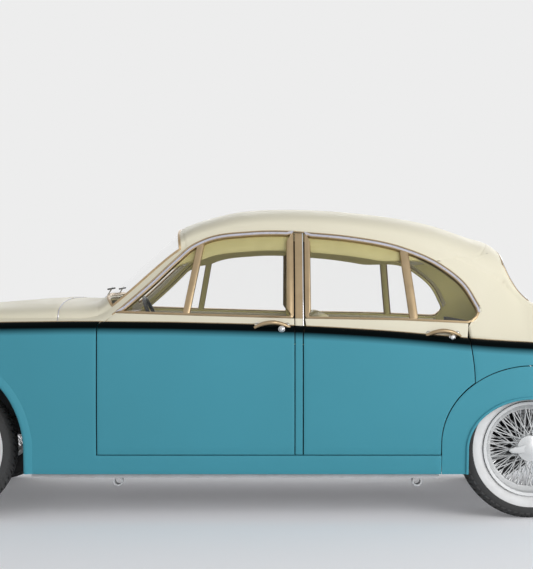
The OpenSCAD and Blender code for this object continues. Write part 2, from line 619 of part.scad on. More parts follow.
module boot_lid() {
    color(cream) union() {
        boot_skin();
        for (y = [-LID_HINGE_Y, LID_HINGE_Y])
            translate([BOOT_AXIS[0], y, BOOT_AXIS[1]]) mirror([1, 0, 0]) lid_arm(-13.5);
    }
}

// End panels: the body's end section closed by a dome; e is -1 at the nose and 1 at the tail
module across_x(x, t) {
    translate([x, 0, 0]) rotate([90, 0, 90]) linear_extrude(t) children();
}
END_T = 24;
NOSE_BULGE = 40;
TAIL_BULGE = 30;
END_ROWS = [0, 0.05, 0.12, 0.25, 0.4, 0.55, 0.67, 0.78, 0.89, 1, 1.5, 2, 2.2, 2.5, 2.85];
END_COLS = [-1, -0.96, -0.88, -0.75, -0.55, -0.3, 0, 0.3, 0.55, 0.75, 0.88, 0.96, 1];
module end_panel(x, e, bulge) {
    rim = [for (s = END_ROWS) skin(x, s)];
    z0 = rim[0][2];
    z1 = rim[len(rim) - 1][2];
    rise = function (c, z) bulge * ((1 - abs(c)^3) * (1 - abs(2 * (z - z0) / (z1 - z0) - 1)^3))^0.6;
    face = function (d) [for (p = rim) [for (c = END_COLS) [x + e * (seam + d + rise(c, p[2])), -e * c * p[1], p[2]]]];
    sheet(face(END_T), face(0));
}
// Holes in an end panel for the stays of its bumper, and one for a lamp of radius r
STAY_Y = 200;
module stay_holes(x, z) {
    for (e = [-1, 1]) translate([x - 100, e * STAY_Y - 20 - seam, z - 25 - seam]) cube([200, 40 + 2 * seam, 50 + 2 * seam]);
}
module lamp_hole(x, y, z, r) {
    for (e = [-1, 1]) translate([x - 100, e * y, z]) rotate([0, 90, 0]) cylinder(h = 200, r = r + seam, $fn = 32);
}
module nose_panel() {
    color(teal) difference() {
        end_panel(body_x0, -1, NOSE_BULGE);
        both_sides() lamp_room();
        across_x(body_x0 - 150, 200) translate([0, GRILLE_Z]) oval(GRILLE_W + seam, GRILLE_H + seam);
        lamp_hole(body_x0, SIDE_LAMP[0], SIDE_LAMP[1], SIDE_LAMP[2]);
        stay_holes(body_x0, FRONT_BUMPER_Z);
    }
}
module tail_panel() {
    color(teal) difference() {
        end_panel(body_x1, 1, TAIL_BULGE);
        lamp_hole(body_x1, TAIL_LAMP[0], TAIL_LAMP[1], TAIL_LAMP[2]);
        stay_holes(body_x1, REAR_BUMPER_Z);
    }
}

// Upright oval grille with a bright rim and thin bars
GRILLE_Z = 560;
GRILLE_W = 150;
GRILLE_H = 185;
GRILLE_D = 44;
module oval(w, h) {
    polygon([for (a = [0 : 9 : 351]) [w * sign(cos(a)) * abs(cos(a))^0.85, h * sign(sin(a)) * abs(sin(a))^0.85]]);
}
module grille() {
    x0 = body_x0 - END_T - NOSE_BULGE - 12;
    color(bright) across_x(x0, GRILLE_D) translate([0, GRILLE_Z]) {
        difference() {
            oval(GRILLE_W, GRILLE_H);
            oval(GRILLE_W - 16, GRILLE_H - 16);
        }
        intersection() {
            oval(GRILLE_W - 14, GRILLE_H - 14);
            union() {
                for (i = [-6 : 6]) translate([i * 20 - 2, -GRILLE_H]) square([4, 2 * GRILLE_H]);
                translate([-8, -GRILLE_H]) square([16, 2 * GRILLE_H]);
            }
        }
    }
}

// Headlamps in the front corners of the wings
LAMP_Y = 545;
LAMP_Z = 640;
LAMP_R = 92;
LAMP_X = body_x0 - 36;
module lamp_place() {
    for (e = [-1, 1]) translate([LAMP_X, e * LAMP_Y, LAMP_Z]) rotate([0, 90, 0]) children();
}
// Room in a wing for its headlamp
module lamp_room() {
    translate([LAMP_X - 40, -LAMP_Y, LAMP_Z]) rotate([0, 90, 0]) cylinder(h = 200, r = LAMP_R + 4.3, $fn = 48);
}
module headlamps() {
    color(bright) lamp_place() rotate_extrude($fn = 48)
        polygon([[0, 12], [LAMP_R - 14, 12], [LAMP_R - 8, -12], [LAMP_R, -10], [LAMP_R + 4, 0], [LAMP_R, 8],
                 [LAMP_R - 1, 120], [0, 120]]);
}
module headlamp_lenses() {
    color(clear) lamp_place() rotate_extrude($fn = 48)
        polygon([[0, -14], [30, -13], [55, -8], [LAMP_R - 12.5, 4], [LAMP_R - 14.5, 11.8], [0, 11.8]]);
}
// Small lamps let into the ends, as [y, z, radius]
SIDE_LAMP = [400, 520, 32];
TAIL_LAMP = [440, 560, 38];
module side_lamps() {
    x = body_x0 - END_T - 0.8 * NOSE_BULGE;
    r = SIDE_LAMP[2];
    color("#d98a3a") for (e = [-1, 1]) translate([x, e * SIDE_LAMP[0], SIDE_LAMP[1]]) rotate([0, -90, 0])
        rotate_extrude($fn = 32) polygon([[0, -END_T], [r, -END_T], [r, 3], [r - 2, 14], [r - 12, 24], [0, 28]]);
}
module tail_lamps() {
    x = body_x1 + END_T + 0.65 * TAIL_BULGE;
    r = TAIL_LAMP[2];
    color("#a01f1c") for (e = [-1, 1]) translate([x, e * TAIL_LAMP[0], TAIL_LAMP[1]]) rotate([0, 90, 0])
        rotate_extrude($fn = 32) polygon([[0, -END_T], [r, -END_T], [r, 3], [r - 2, 16], [r - 16, 27], [0, 31]]);
}

// Bumper blades bent round the ends, with overriders and stays
half_length = overall_length / 2;
// Plan of a blade from the middle round to its end, as [back from the tip, y]
BLADE = [[0, 0], [2, 120], [6, 240], [12, 360], [20, 460], [32, 555], [58, 635], [110, 700], [200, 748], [300, 784]];
BUMPER_T = 20;
module blade() {
    n = len(BLADE);
    outer = concat([for (i = [n - 1 : -1 : 1]) [BLADE[i][0], -BLADE[i][1]]], BLADE);
    inner = moved_line(outer, -BUMPER_T);
    polygon(concat(outer, [for (i = [len(inner) - 1 : -1 : 0]) inner[i]]));
}
module bumper(z, end_x) {
    x0 = -half_length;
    translate([x0, 0, z - 45]) linear_extrude(90) blade();
    for (e = [-1, 1]) {
        translate([x0 + 12, e * 300 - 24, z - 95]) cube([BUMPER_T + 12, 48, 190]);
        translate([x0 + BUMPER_T - 4, e * STAY_Y - 20, z - 25]) cube([end_x - x0 - BUMPER_T + 4, 40, 50]);
    }
}
FRONT_BUMPER_Z = 400;
REAR_BUMPER_Z = 450;
module front_bumper() {
    color(bright) bumper(FRONT_BUMPER_Z, body_x0 - 15);
}
module rear_bumper() {
    color(bright) mirror([1, 0, 0]) bumper(REAR_BUMPER_Z, -body_x1 - 15);
}

// Floor with its tunnel and jacking sockets
TUNNEL_W = 120;
LEG_Y = 290;
// Jacking socket under the floor, on the left
SOCKET_R = 16;
module jack_socket(x) {
    translate([x, -772, floor_z - 20.2 - SOCKET_R]) rotate([-90, 0, 0]) children();
}
module floor_pan() {
    color(black) difference() {
        union() {
            translate([-1090, -775, floor_z - 20.2]) cube([1890, 1550, 20]);
            translate([-784, -TUNNEL_W - 16, floor_z - 20]) cube([1768, 2 * TUNNEL_W + 32, 190]);
            translate([780, -560, floor_z - 20.2]) cube([220, 1120, 20]);
            for (x = [-690, 700]) both_sides() jack_socket(x) cylinder(h = 60, r = SOCKET_R + 6, $fn = 32);
        }
        translate([-785, -TUNNEL_W, 0]) cube([1786, 2 * TUNNEL_W, floor_z + 154]);
        for (x = [-690, 700]) both_sides() jack_socket(x)
            translate([0, 0, -1]) cylinder(h = 62, r = SOCKET_R, $fn = 32);
    }
}

// Walls ahead of the front seats and behind the rear seat, open over the tunnel
module bulkhead(x, w, top_z) {
    across_x(x, 16) difference() {
        translate([-w, floor_z - 0.2]) square([2 * w, top_z - floor_z + 0.2]);
        translate([-TUNNEL_W, 0]) square([2 * TUNNEL_W, floor_z + 154]);
    }
}
module bulkheads() {
    color(black) {
        bulkhead(-800, 725, 874);
        bulkhead(984, 560, 914);
    }
}

// Legs beside the engine with two beams across them
module front_frame() {
    color(black) {
        for (e = [-1, 1]) translate([body_x0, e * LEG_Y - 35, 350]) cube([-800 - body_x0, 70, 80]);
        for (x = [-1700, -1150]) translate([x, -LEG_Y, 370]) cube([80, 2 * LEG_Y, 60]);
    }
}
module boot_floor() {
    color(black) {
        translate([1000, -500, 500]) cube([1020, 1000, 14]);
        translate([2010, -380, 500]) cube([body_x1 - 2010, 760, 14]);
    }
}

module engine_block() {
    color("#5b5d60") {
        translate([-1790, -200, 430.2]) cube([780, 400, 470]);
        translate([-1011, -95, 262]) cube([205, 190, 300]);
    }
}

// Front suspension beam with its king pins
KING_Y = front_track / 2 - 68.5;
// Inner end of the arms that carry the king pins
ARM_Y = KING_Y - 130;
KING_R = 12;
STUB_R = 20;
module front_crossmember() {
    color(black) translate([front_axle_x, 0, 0]) {
        translate([-60, -ARM_Y - 40, 240]) cube([120, 2 * ARM_Y + 80, 60]);
        for (e = [-1, 1]) {
            translate([-45, e * LEG_Y - 35, 300]) cube([90, 70, 49.8]);
            for (z = [tyre_r - 104, tyre_r + 80]) hull_arm(e, z);
            translate([0, e * KING_Y, tyre_r - 104]) cylinder(h = 208, r = KING_R, $fn = 32);
            translate([-35, e * ARM_Y - 40, 300]) cube([70, 80, 130]);
        }
    }
}
module hull_arm(e, z) {
    translate([0, e * KING_Y, z]) cylinder(h = 24, r = 24, $fn = 32);
    translate([-20, e * (KING_Y + ARM_Y) / 2 - (KING_Y - ARM_Y) / 2, z]) cube([40, KING_Y - ARM_Y, 24]);
}
module knuckle() {
    h = 2 * 79.8;
    color("#6b6d70") translate([front_axle_x, -KING_Y, tyre_r]) difference() {
        union() {
            translate([0, 0, -79.8]) cylinder(h = h, r = 22, $fn = 32);
            rotate([90, 0, 0]) cylinder(h = front_track / 2 - KING_Y + 40, r = STUB_R, $fn = 32);
        }
        translate([0, 0, -100]) cylinder(h = 200, r = KING_R + 0.05, $fn = 32);
    }
}

// Back axle with its final drive and trailing arms
module rear_axle() {
    color(black) translate([rear_axle_x, 0, tyre_r]) {
        for (e = [-1, 1]) {
            rotate([e * 90, 0, 0]) cylinder(h = rear_track / 2 - 70, r = 38, $fn = 32);
            rotate([e * 90, 0, 0]) cylinder(h = rear_track / 2 + 40, r = STUB_R, $fn = 32);
            translate([999.8 - rear_axle_x + 0.4, e * 460 - 22, -25]) cube([rear_axle_x - 1000.2, 44, 50]);
        }
        sphere(r = 120, $fn = 32);
    }
}
module propshaft() {
    color("#6b6d70") rod([-805.6, 0, 308], [rear_axle_x - 120.3, 0, tyre_r], 30);
}

// Tyre and wire wheel, axis along Z with the outer side up
module tyre_shape() {
    b = tyre_w / 2;
    color(black) rotate_extrude($fn = 72)
        polygon([[rim_r - 9.8, -62], [rim_r + 4, -68], [rim_r + 40, -b], [tyre_r - 40, -b + 2], [tyre_r - 14, -b + 14],
                 [tyre_r, -b + 34], [tyre_r, b - 34], [tyre_r - 14, b - 14], [tyre_r - 40, b - 2], [rim_r + 40, b],
                 [rim_r + 4, 68], [rim_r - 9.8, 62], [rim_r - 9.8, 30], [rim_r + 30, 40], [rim_r + 60, 50],
                 [tyre_r - 24, 40], [tyre_r - 24, -40], [rim_r + 60, -50], [rim_r + 30, -40], [rim_r - 9.8, -30]]);
}
function ring_point(r, a, z) = [r * cos(a), r * sin(a), z];
module wire_wheel() {
    color(bright) union() {
        rotate_extrude($fn = 72)
            polygon([[rim_r, 80], [rim_r, 70], [rim_r - 10, 66], [rim_r - 10, 28], [rim_r - 22, 18], [rim_r - 22, -18],
                     [rim_r - 10, -28], [rim_r - 10, -66], [rim_r, -70], [rim_r, -80], [rim_r - 12, -78],
                     [rim_r - 17, -66], [rim_r - 17, -32], [rim_r - 30, -20], [rim_r - 30, 20], [rim_r - 17, 32],
                     [rim_r - 17, 66], [rim_r - 12, 78]]);
        rotate_extrude($fn = 48)
            polygon([[STUB_R + 0.05, -42], [52, -42], [52, -30], [40, -24], [40, 40], [48, 46], [48, 60], [30, 74],
                     [16, 80], [0, 80], [0, 44], [STUB_R + 0.05, 44]]);
        for (i = [0 : spokes_per_row - 1]) let (a = 360 * i / spokes_per_row) {
            rod(ring_point(46, a, 55), ring_point(rim_r - 27, a + 22, 12), spoke_r);
            rod(ring_point(46, a + 8, 49), ring_point(rim_r - 27, a - 14, 6), spoke_r);
            rod(ring_point(50, a + 4, -33), ring_point(rim_r - 27, a + 30, -6), spoke_r);
            rod(ring_point(50, a + 12, -39), ring_point(rim_r - 27, a - 14, -12), spoke_r);
        }
        translate([0, 0, 66]) linear_extrude(10)
            polygon([[-18, -20], [-34, -96], [-14, -102], [18, -24], [18, 20], [34, 96], [14, 102], [-18, 24]]);
    }
}
module wheel_place(x, y, e) {
    translate([x, e * y, tyre_r]) rotate([-e * 90, 0, 0]) children();
}

// Fittings inside the cabin
DASH_X = -783.8;
DASH_D = 120;
module dashboard() {
    color("#6d4326") translate([DASH_X, -690, 755]) cube([DASH_D, 1380, 165]);
}
module steering_column() {
    x = DASH_X + DASH_D + seam + COLUMN_R * sin(COLUMN_TILT);
    color(black) rod([x, COLUMN_END[1], COLUMN_END[2] - (COLUMN_END[0] - x) * tan(COLUMN_TILT)], COLUMN_END, COLUMN_R);
}
COLUMN_END = [-540, -360, 838];
COLUMN_TILT = 24;
COLUMN_R = 22;
module steering_wheel() {
    color("#1c1a18") translate(COLUMN_END) rotate([0, 90 - COLUMN_TILT, 0]) translate([0, 0, 0.3]) {
        rotate_extrude($fn = 64) translate([195, 20]) circle(r = 13, $fn = 24);
        cylinder(h = 34, r = 34, $fn = 48);
        for (a = [0, 120, 240]) rotate(a + 90) translate([20, -11, 12]) cube([170, 22, 10]);
    }
}
SEAT_Z = 340;
module seat(w) {
    translate([0, -w / 2, 0]) {
        cube([500, w, 150]);
        translate([430, 0, 120]) rotate([0, 14, 0]) cube([110, w, 545]);
    }
}
module front_seats() {
    color("#d9cfa8") both_sides() translate([-330, -395, SEAT_Z]) seat(460);
}
REAR_SEAT_Z = 385;
module rear_seat() {
    color("#d9cfa8") translate([480, 0, REAR_SEAT_Z]) {
        translate([0, -540, 0]) cube([380, 1080, 110]);
        translate([310, -540, 90]) rotate([0, 10, 0]) cube([100, 1080, 450]);
    }
}
module seat_bases() {
    color(black) both_sides() {
        translate([-250, -560, floor_z]) cube([300, 330, SEAT_Z - floor_z - seam]);
        translate([520, -530, floor_z]) cube([320, 360, REAR_SEAT_Z - floor_z - seam]);
    }
}

front_wings();
rear_wings();
spats();
sills();
bonnet();
boot_lid();
scuttle();
screen_frame();
windscreen();
roof();
rear_quarters();
rear_window();
door_posts();
door_hinges();
lid_brackets();
nose_panel();
tail_panel();
grille();
headlamps();
headlamp_lenses();
side_lamps();
tail_lamps();
front_bumper();
rear_bumper();
floor_pan();
bulkheads();
front_frame();
boot_floor();
engine_block();
front_crossmember();
rear_axle();
propshaft();
dashboard();
steering_column();
steering_wheel();
front_seats();
seat_bases();
rear_seat();
left() front_door();  // front_door_left
left() front_door_trim();  // front_trim_left
left() side_glass(FRONT_TOP, FRONT_FOOT, 10, 0);  // front_glass_left
left() rear_door();  // rear_door_left
left() rear_door_trim();  // rear_trim_left
left() side_glass(REAR_TOP, REAR_FOOT, 0, 0);  // rear_glass_left
left() knuckle();  // knuckle_left
right() front_door();  // front_door_right
right() front_door_trim();  // front_trim_right
right() side_glass(FRONT_TOP, FRONT_FOOT, 10, 0);  // front_glass_right
right() rear_door();  // rear_door_right
right() rear_door_trim();  // rear_trim_right
right() side_glass(REAR_TOP, REAR_FOOT, 0, 0);  // rear_glass_right
right() knuckle();  // knuckle_right
wheel_place(front_axle_x, front_track / 2, -1) tyre_shape();  // front_tyre_left
wheel_place(front_axle_x, front_track / 2, -1) wire_wheel();  // front_wheel_left
wheel_place(front_axle_x, front_track / 2, 1) tyre_shape();  // front_tyre_right
wheel_place(front_axle_x, front_track / 2, 1) wire_wheel();  // front_wheel_right
wheel_place(rear_axle_x, rear_track / 2, -1) tyre_shape();  // rear_tyre_left
wheel_place(rear_axle_x, rear_track / 2, -1) wire_wheel();  // rear_wheel_left
wheel_place(rear_axle_x, rear_track / 2, 1) tyre_shape();  // rear_tyre_right
wheel_place(rear_axle_x, rear_track / 2, 1) wire_wheel();  // rear_wheel_right
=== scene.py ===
"""Two-tone four-door sports saloon of about 1960 on wire wheels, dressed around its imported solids.

X runs rearwards, Y to the car's right and Z up. Body sizes are written in millimetres, as the
panels were drawn, and turned into metres when a mesh is made.
"""
import logging
import math
from dataclasses import dataclass
from enum import Enum, IntEnum
from typing import Callable, Sequence

import bmesh
import bpy
import numpy as np
from mathutils import Matrix, Vector


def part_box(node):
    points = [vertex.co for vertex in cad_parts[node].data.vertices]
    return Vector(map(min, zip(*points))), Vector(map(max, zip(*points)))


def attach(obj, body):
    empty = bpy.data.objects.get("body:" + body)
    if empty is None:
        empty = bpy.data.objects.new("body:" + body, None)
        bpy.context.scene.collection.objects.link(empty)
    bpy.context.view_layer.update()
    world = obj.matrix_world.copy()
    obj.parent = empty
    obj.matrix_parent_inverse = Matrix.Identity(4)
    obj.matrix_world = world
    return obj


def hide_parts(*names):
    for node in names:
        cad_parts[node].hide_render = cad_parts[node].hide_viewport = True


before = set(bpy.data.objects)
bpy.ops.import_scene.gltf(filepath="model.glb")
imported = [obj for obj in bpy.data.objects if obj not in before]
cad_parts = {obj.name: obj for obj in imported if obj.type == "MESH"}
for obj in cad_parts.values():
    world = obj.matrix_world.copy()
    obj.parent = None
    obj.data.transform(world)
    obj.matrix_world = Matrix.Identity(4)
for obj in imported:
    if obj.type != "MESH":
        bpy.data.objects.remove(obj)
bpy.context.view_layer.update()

LOG = logging.getLogger("saloon")
MM = 0.001
Points = np.ndarray
Pair = tuple[float, float]
Profile = tuple[Pair, ...]
Triple = tuple[float, float, float]
Colour = Triple
Faces = list[tuple[int, ...]]
Piece = bpy.types.Object
Socket = bpy.types.NodeSocket


class Station(IntEnum):
    """Columns of the table of body stations."""

    X = 0
    W_SILL = 1
    W_SIDE = 2
    W_BELT = 3
    W_CANT = 4
    Z_SILL = 5
    Z_BELT = 6
    Z_CANT = 7
    Z_TOP = 8


class Side(Enum):
    """The two sides of the car, by the sign of Y."""

    LEFT = -1
    RIGHT = 1

    @property
    def word(self) -> str:
        """The side's name in the names of nodes and bodies."""
        return self.name.lower()


STATIONS = np.array([
    [-2180, 510, 625, 572, 528, 340, 745, 762, 800],
    [-2120, 585, 684, 632, 586, 290, 790, 808, 858],
    [-1980, 675, 750, 700, 658, 245, 842, 862, 920],
    [-1700, 762, 805, 754, 716, 225, 893, 912, 970],
    [-1380, 790, 820, 776, 742, 216, 913, 931, 1000],
    [-1000, 798, 825, 785, 752, 214, 920, 938, 1028],
    [-800, 800, 826, 786, 745, 214, 921, 944, 1032],
    [-700, 800, 826, 786, 725, 214, 920, 1010, 1119],
    [-500, 800, 826, 785, 660, 214, 918, 1190, 1305],
    [-430, 800, 826, 785, 640, 214, 917, 1248, 1366],
    [-344, 800, 826, 785, 620, 214, 915, 1305, 1405],
    [-137, 800, 826, 784, 603, 214, 910, 1358, 1457],
    [70, 800, 826, 783, 600, 214, 904, 1368, 1470],
    [329, 800, 826, 781, 600, 214, 892, 1358, 1462],
    [587, 800, 825, 779, 594, 214, 875, 1320, 1436],
    [794, 799, 824, 777, 586, 214, 857, 1262, 1400],
    [1001, 797, 822, 773, 575, 214, 838, 1172, 1333],
    [1131, 794, 820, 769, 570, 214, 829, 1098, 1281],
    [1167, 793, 819, 768, 580, 214, 827, 1060, 1180],
    [1208, 791, 818, 766, 592, 215, 825, 1018, 1095],
    [1260, 788, 816, 764, 608, 217, 821, 980, 1036],
    [1379, 780, 810, 757, 632, 223, 812, 918, 980],
    [1600, 755, 786, 733, 640, 243, 786, 856, 938],
    [1850, 705, 735, 684, 610, 285, 742, 800, 870],
    [2050, 630, 660, 610, 550, 330, 688, 738, 795],
    [2190, 520, 550, 505, 455, 390, 610, 650, 690],
], float)

BODY_FRONT, BODY_REAR = -2180.0, 2190.0
FRONT_AXLE, REAR_AXLE = -1496.0, 1231.0
AXLE_Z = 326.0
SHUT_GAP = 5.0
DOOR_FOOT = 306.0
SILL_TOP = DOOR_FOOT - SHUT_GAP
FRONT_HINGE, REAR_HINGE = -764.0, 190.0
FRONT_DOOR_END = 129.0
BONNET_REAR, BOOT_FRONT, LID_GAP, LID_ARM_Y = -975.0, 1409.0, 12.0, 250.0
FRAME_W, FRAME_GAP = 14.0, 6.0
WINDOW_SILL = np.array([[-770, 962], [-311, 947], [110, 935], [625, 926], [1010, 908]], float)
WINDOW_POINTS = np.array([[-758, 920], [-547, 1104], [-430, 1216], [-360, 1277], [-290, 1312], [-79, 1345],
                        [116, 1347], [207, 1340], [398, 1322], [636, 1275], [827, 1192], [946, 1092],
                        [1003, 990]], float)
REAR_EDGE = np.array([963, 962, 959, 954, 948, 944, 940, 936, 944], float)
REAR_EDGE_ROWS = np.array([0, 0.25, 0.5, 0.75, 1, 1.33, 1.67, 2, 3], float)


class BodySurface:
    """The car's outer skin as a function of X and of the position round the section.

    The position is 0 at the left sill, 1 at the belt, 2 at the cant rail, 3 on the centre line and
    6 at the right sill.
    """

    shoulder: float = 48.0
    crown: float = 0.8

    def at(self, x: Points | float, column: int) -> Points:
        """One column of the station table at x.

        Args:
            x: Places along the car in millimetres.
            column: The column wanted.

        Returns:
            The column's smooth value at each place.
        """
        xs, col = STATIONS[:, 0], STATIONS[:, column]
        slope = np.gradient(col, xs)
        slope[1:-1] = (col[2:] - col[:-2]) / (xs[2:] - xs[:-2])
        i = np.clip(np.searchsorted(xs, x, side="right") - 1, 0, len(xs) - 2)
        h = xs[i + 1] - xs[i]
        t = (x - xs[i]) / h
        return ((2 * t**3 - 3 * t**2 + 1) * col[i] + (t**3 - 2 * t**2 + t) * h * slope[i]
                + (3 * t**2 - 2 * t**3) * col[i + 1] + (t**3 - t**2) * h * slope[i + 1])

    def side_heights(self, x: Points | float) -> tuple[Points, Points, Points, Points]:
        """Heights of the sill, the widest line, the foot of the shoulder and the belt at x.

        Args:
            x: Places along the car.

        Returns:
            The four heights, upwards.
        """
        zs, zb = self.at(x, Station.Z_SILL), self.at(x, Station.Z_BELT)
        foot = zb - self.shoulder
        return zs, zs + 0.58 * (foot - zs), foot, zb

    def skin(self, x: Points | float, s: Points | float) -> Points:
        """Points of the skin.

        Args:
            x: Places along the car in millimetres.
            s: Positions round the section, of the same shape.

        Returns:
            An array with a last axis of X, Y and Z in millimetres.
        """
        x, s = np.broadcast_arrays(np.asarray(x, float), np.asarray(s, float))
        h = np.minimum(s, 6 - s)
        ws, wd, wb, wc = (self.at(x, c) for c in (1, 2, 3, 4))
        zc, zt = self.at(x, Station.Z_CANT), self.at(x, Station.Z_TOP)
        zs, zm, zf, zb = self.side_heights(x)
        t = np.clip(1 - 3 * h, 0, None)
        y1, z1 = wd - (wd - ws) * t**2.2, zm - t * (zm - zs)
        t = 3 * h - 1
        y2, z2 = wd - 5 * t**2, zm + t * (zf - zm)
        a = np.radians(90 * (3 * h - 2))
        y3, z3 = wb + (wd - 5 - wb) * np.cos(a), zf + self.shoulder * np.sin(a)
        t = h - 1
        y4, z4 = wb + (wc - wb) * t + 0.04 * (zc - zb) * np.sin(np.pi * t), zb + (zc - zb) * t
        a = np.radians(90 * np.clip(h - 2, 0, 1))
        y5 = wc * np.clip(np.cos(a), 0, 1) ** self.crown
        z5 = zc + (zt - zc) * np.clip(np.sin(a), 0, 1) ** self.crown
        zones = [h < 1 / 3, h < 2 / 3, h < 1, h < 2]
        y, z = np.select(zones, [y1, y2, y3, y4], y5), np.select(zones, [z1, z2, z3, z4], z5)
        return np.stack([x, np.where(s > 3, y, -y), z], -1)

    def normal(self, x: Points | float, s: Points | float) -> Points:
        """Unit normals of the skin, pointing outwards.

        Args:
            x: Places along the car.
            s: Positions round the section.

        Returns:
            The normals.
        """
        x, s = np.broadcast_arrays(np.asarray(x, float), np.asarray(s, float))
        n = np.cross(self.skin(x + 2, s) - self.skin(x - 2, s), self.skin(x, s + 0.01) - self.skin(x, s - 0.01))
        return n / np.linalg.norm(n, axis=-1, keepdims=True)

    def under(self, x: Points | float, s: Points | float, depth: Points | float) -> Points:
        """Points at a depth under the skin, in millimetres; a negative depth stands proud of it."""
        return self.skin(x, s) - self.normal(x, s) * np.asarray(depth, float)[..., None]

    def half_width(self, x: float, z: float, depth: float = 0.0) -> float:
        """How far from the centre plane the skin, or a depth under it, lies at x and height z."""
        return abs(float(self.under(x, self.s_of(x, z), depth)[1]))

    def s_of(self, x: Points | float, z: Points | float) -> Points:
        """Position round the section at height z on the left side.

        Args:
            x: Places along the car.
            z: Heights.

        Returns:
            The positions.
        """
        x, z = np.broadcast_arrays(np.asarray(x, float), np.asarray(z, float))
        q = self.side_heights(x)
        zc, zt = self.at(x, Station.Z_CANT), self.at(x, Station.Z_TOP)
        shoulder = np.degrees(np.arcsin(np.clip((z - q[2]) / self.shoulder, 0, 1)))
        crown = np.degrees(np.arcsin(np.clip((z - zc) / (zt - zc), 0, 1) ** (1 / self.crown)))
        return np.select(
            [z < q[1], z < q[2], z < q[3], z < zc],
            [(1 - (q[1] - z) / (q[1] - q[0])) / 3, (1 + (z - q[1]) / (q[2] - q[1])) / 3,
             (2 + shoulder / 90) / 3, 1 + (z - q[3]) / (zc - q[3])], 2 + crown / 90)


BODY = BodySurface()


def moved_line(line: Points, d: float) -> Points:
    """An open line of [x, z] points moved to its left by d.

    Args:
        line: Points of the line.
        d: Distance.

    Returns:
        The moved points.
    """
    step = np.diff(line, axis=0)
    step /= np.linalg.norm(step, axis=1, keepdims=True)
    left = np.stack([-step[:, 1], step[:, 0]], 1)
    before, after = np.vstack([left[:1], left]), np.vstack([left, left[-1:]])
    return line + d * (before + after) / (1 + np.sum(before * after, 1, keepdims=True))


def moved_loop(loop: Points, d: float) -> Points:
    """A closed clockwise loop of [x, z] points moved inwards by d.

    Args:
        loop: Points of the loop.
        d: Distance.

    Returns:
        The moved points.
    """
    step = np.roll(loop, -1, 0) - loop
    step /= np.linalg.norm(step, axis=1, keepdims=True)
    left = np.stack([-step[:, 1], step[:, 0]], 1)
    before = np.roll(left, 1, 0)
    return loop - d * (before + left) / (1 + np.sum(before * left, 1, keepdims=True))


def rounded_loop(loop: Points, corner: float, rounds: int = 4) -> Points:
    """A closed loop with its corners cut off smoothly.

    Args:
        loop: Corner points.
        corner: How far from a corner its rounding starts.
        rounds: Rounds of corner cutting.

    Returns:
        The finer loop, with the same number of points for every loop of the same length.
    """
    ahead, behind = np.roll(loop, -1, 0) - loop, np.roll(loop, 1, 0) - loop
    na, nb = (np.linalg.norm(v, axis=1, keepdims=True) for v in (ahead, behind))
    reach_a, reach_b = np.minimum(corner, 0.48 * na), np.minimum(corner, 0.48 * nb)
    q = np.stack([loop + behind / nb * reach_b, loop, loop + ahead / na * reach_a], 1).reshape(-1, 2)
    for _ in range(rounds):
        nxt = np.roll(q, -1, 0)
        q = np.stack([0.75 * q + 0.25 * nxt, 0.25 * q + 0.75 * nxt], 1).reshape(-1, 2)
    return q


def smooth_line(points: Sequence[Pair], n: int) -> Points:
    """A smooth curve through points, as n points evenly spread along it.

    Args:
        points: Points to run through.
        n: Number of points wanted.

    Returns:
        The curve's points.
    """
    p = np.array(points, float)
    d = np.concatenate([[0], np.cumsum(np.linalg.norm(np.diff(p, axis=0), axis=1))])
    m = np.gradient(p, d, axis=0)
    t = np.linspace(0, d[-1], n)
    i = np.clip(np.searchsorted(d, t, side="right") - 1, 0, len(d) - 2)
    h = (d[i + 1] - d[i])[:, None]
    u = (t - d[i])[:, None] / h
    return ((2 * u**3 - 3 * u**2 + 1) * p[i] + (u**3 - 2 * u**2 + u) * h * m[i]
            + (3 * u**2 - 2 * u**3) * p[i + 1] + (u**3 - u**2) * h * m[i + 1])


WINDOW_LINE = moved_line(smooth_line([tuple(p) for p in WINDOW_POINTS], 90), -10.0)
APERTURE = moved_line(WINDOW_LINE, FRAME_GAP)


def on_side(points: Points) -> tuple[Points, Points]:
    """X and the position round the section of [x, z] points on the left side."""
    return points[..., 0], BODY.s_of(points[..., 0], points[..., 1])


def aperture_s(x: Points | float) -> Points:
    """Position round the section of the opening over the windows."""
    return BODY.s_of(x, np.interp(x, APERTURE[:, 0], APERTURE[:, 1]))


def sill_s(x: Points | float) -> Points:
    """Position round the section of the bottom line of the windows."""
    return BODY.s_of(x, np.interp(x, WINDOW_SILL[:, 0], WINDOW_SILL[:, 1]))


def across(x: Points, c: Points) -> tuple[Points, Points]:
    """X and section position at a share c of the way from the centre line to the side window."""
    s = 3 - np.abs(c) * (3 - aperture_s(x))
    return x, np.where(c < 0, s, 6 - s)


def lip_x(hinge: float, s: Points, lean: float) -> Points:
    """Rear edge of the fixed panel ahead of a door, clear of the door's swing; upright below the shoulder."""
    edge = np.array([-23.0, -23.0, -21.5, -14.5, -11.0 + lean])
    return np.interp(s, [0.0, 2 / 3, 0.78, 0.89, 1.0], hinge + edge)


class Finish:
    """A surface finish that makes its own node material once."""

    name: str

    def build(self, nodes: "NodeKit") -> None:
        """Lays the finish's nodes."""
        raise NotImplementedError

    def material(self) -> bpy.types.Material:
        """The finish's material, made on first use.

        Returns:
            The material.
        """
        found = bpy.data.materials.get(self.name)
        if found is None:
            found = bpy.data.materials.new(self.name)
            found.use_nodes = True
            self.build(NodeKit(found.node_tree))
        return found


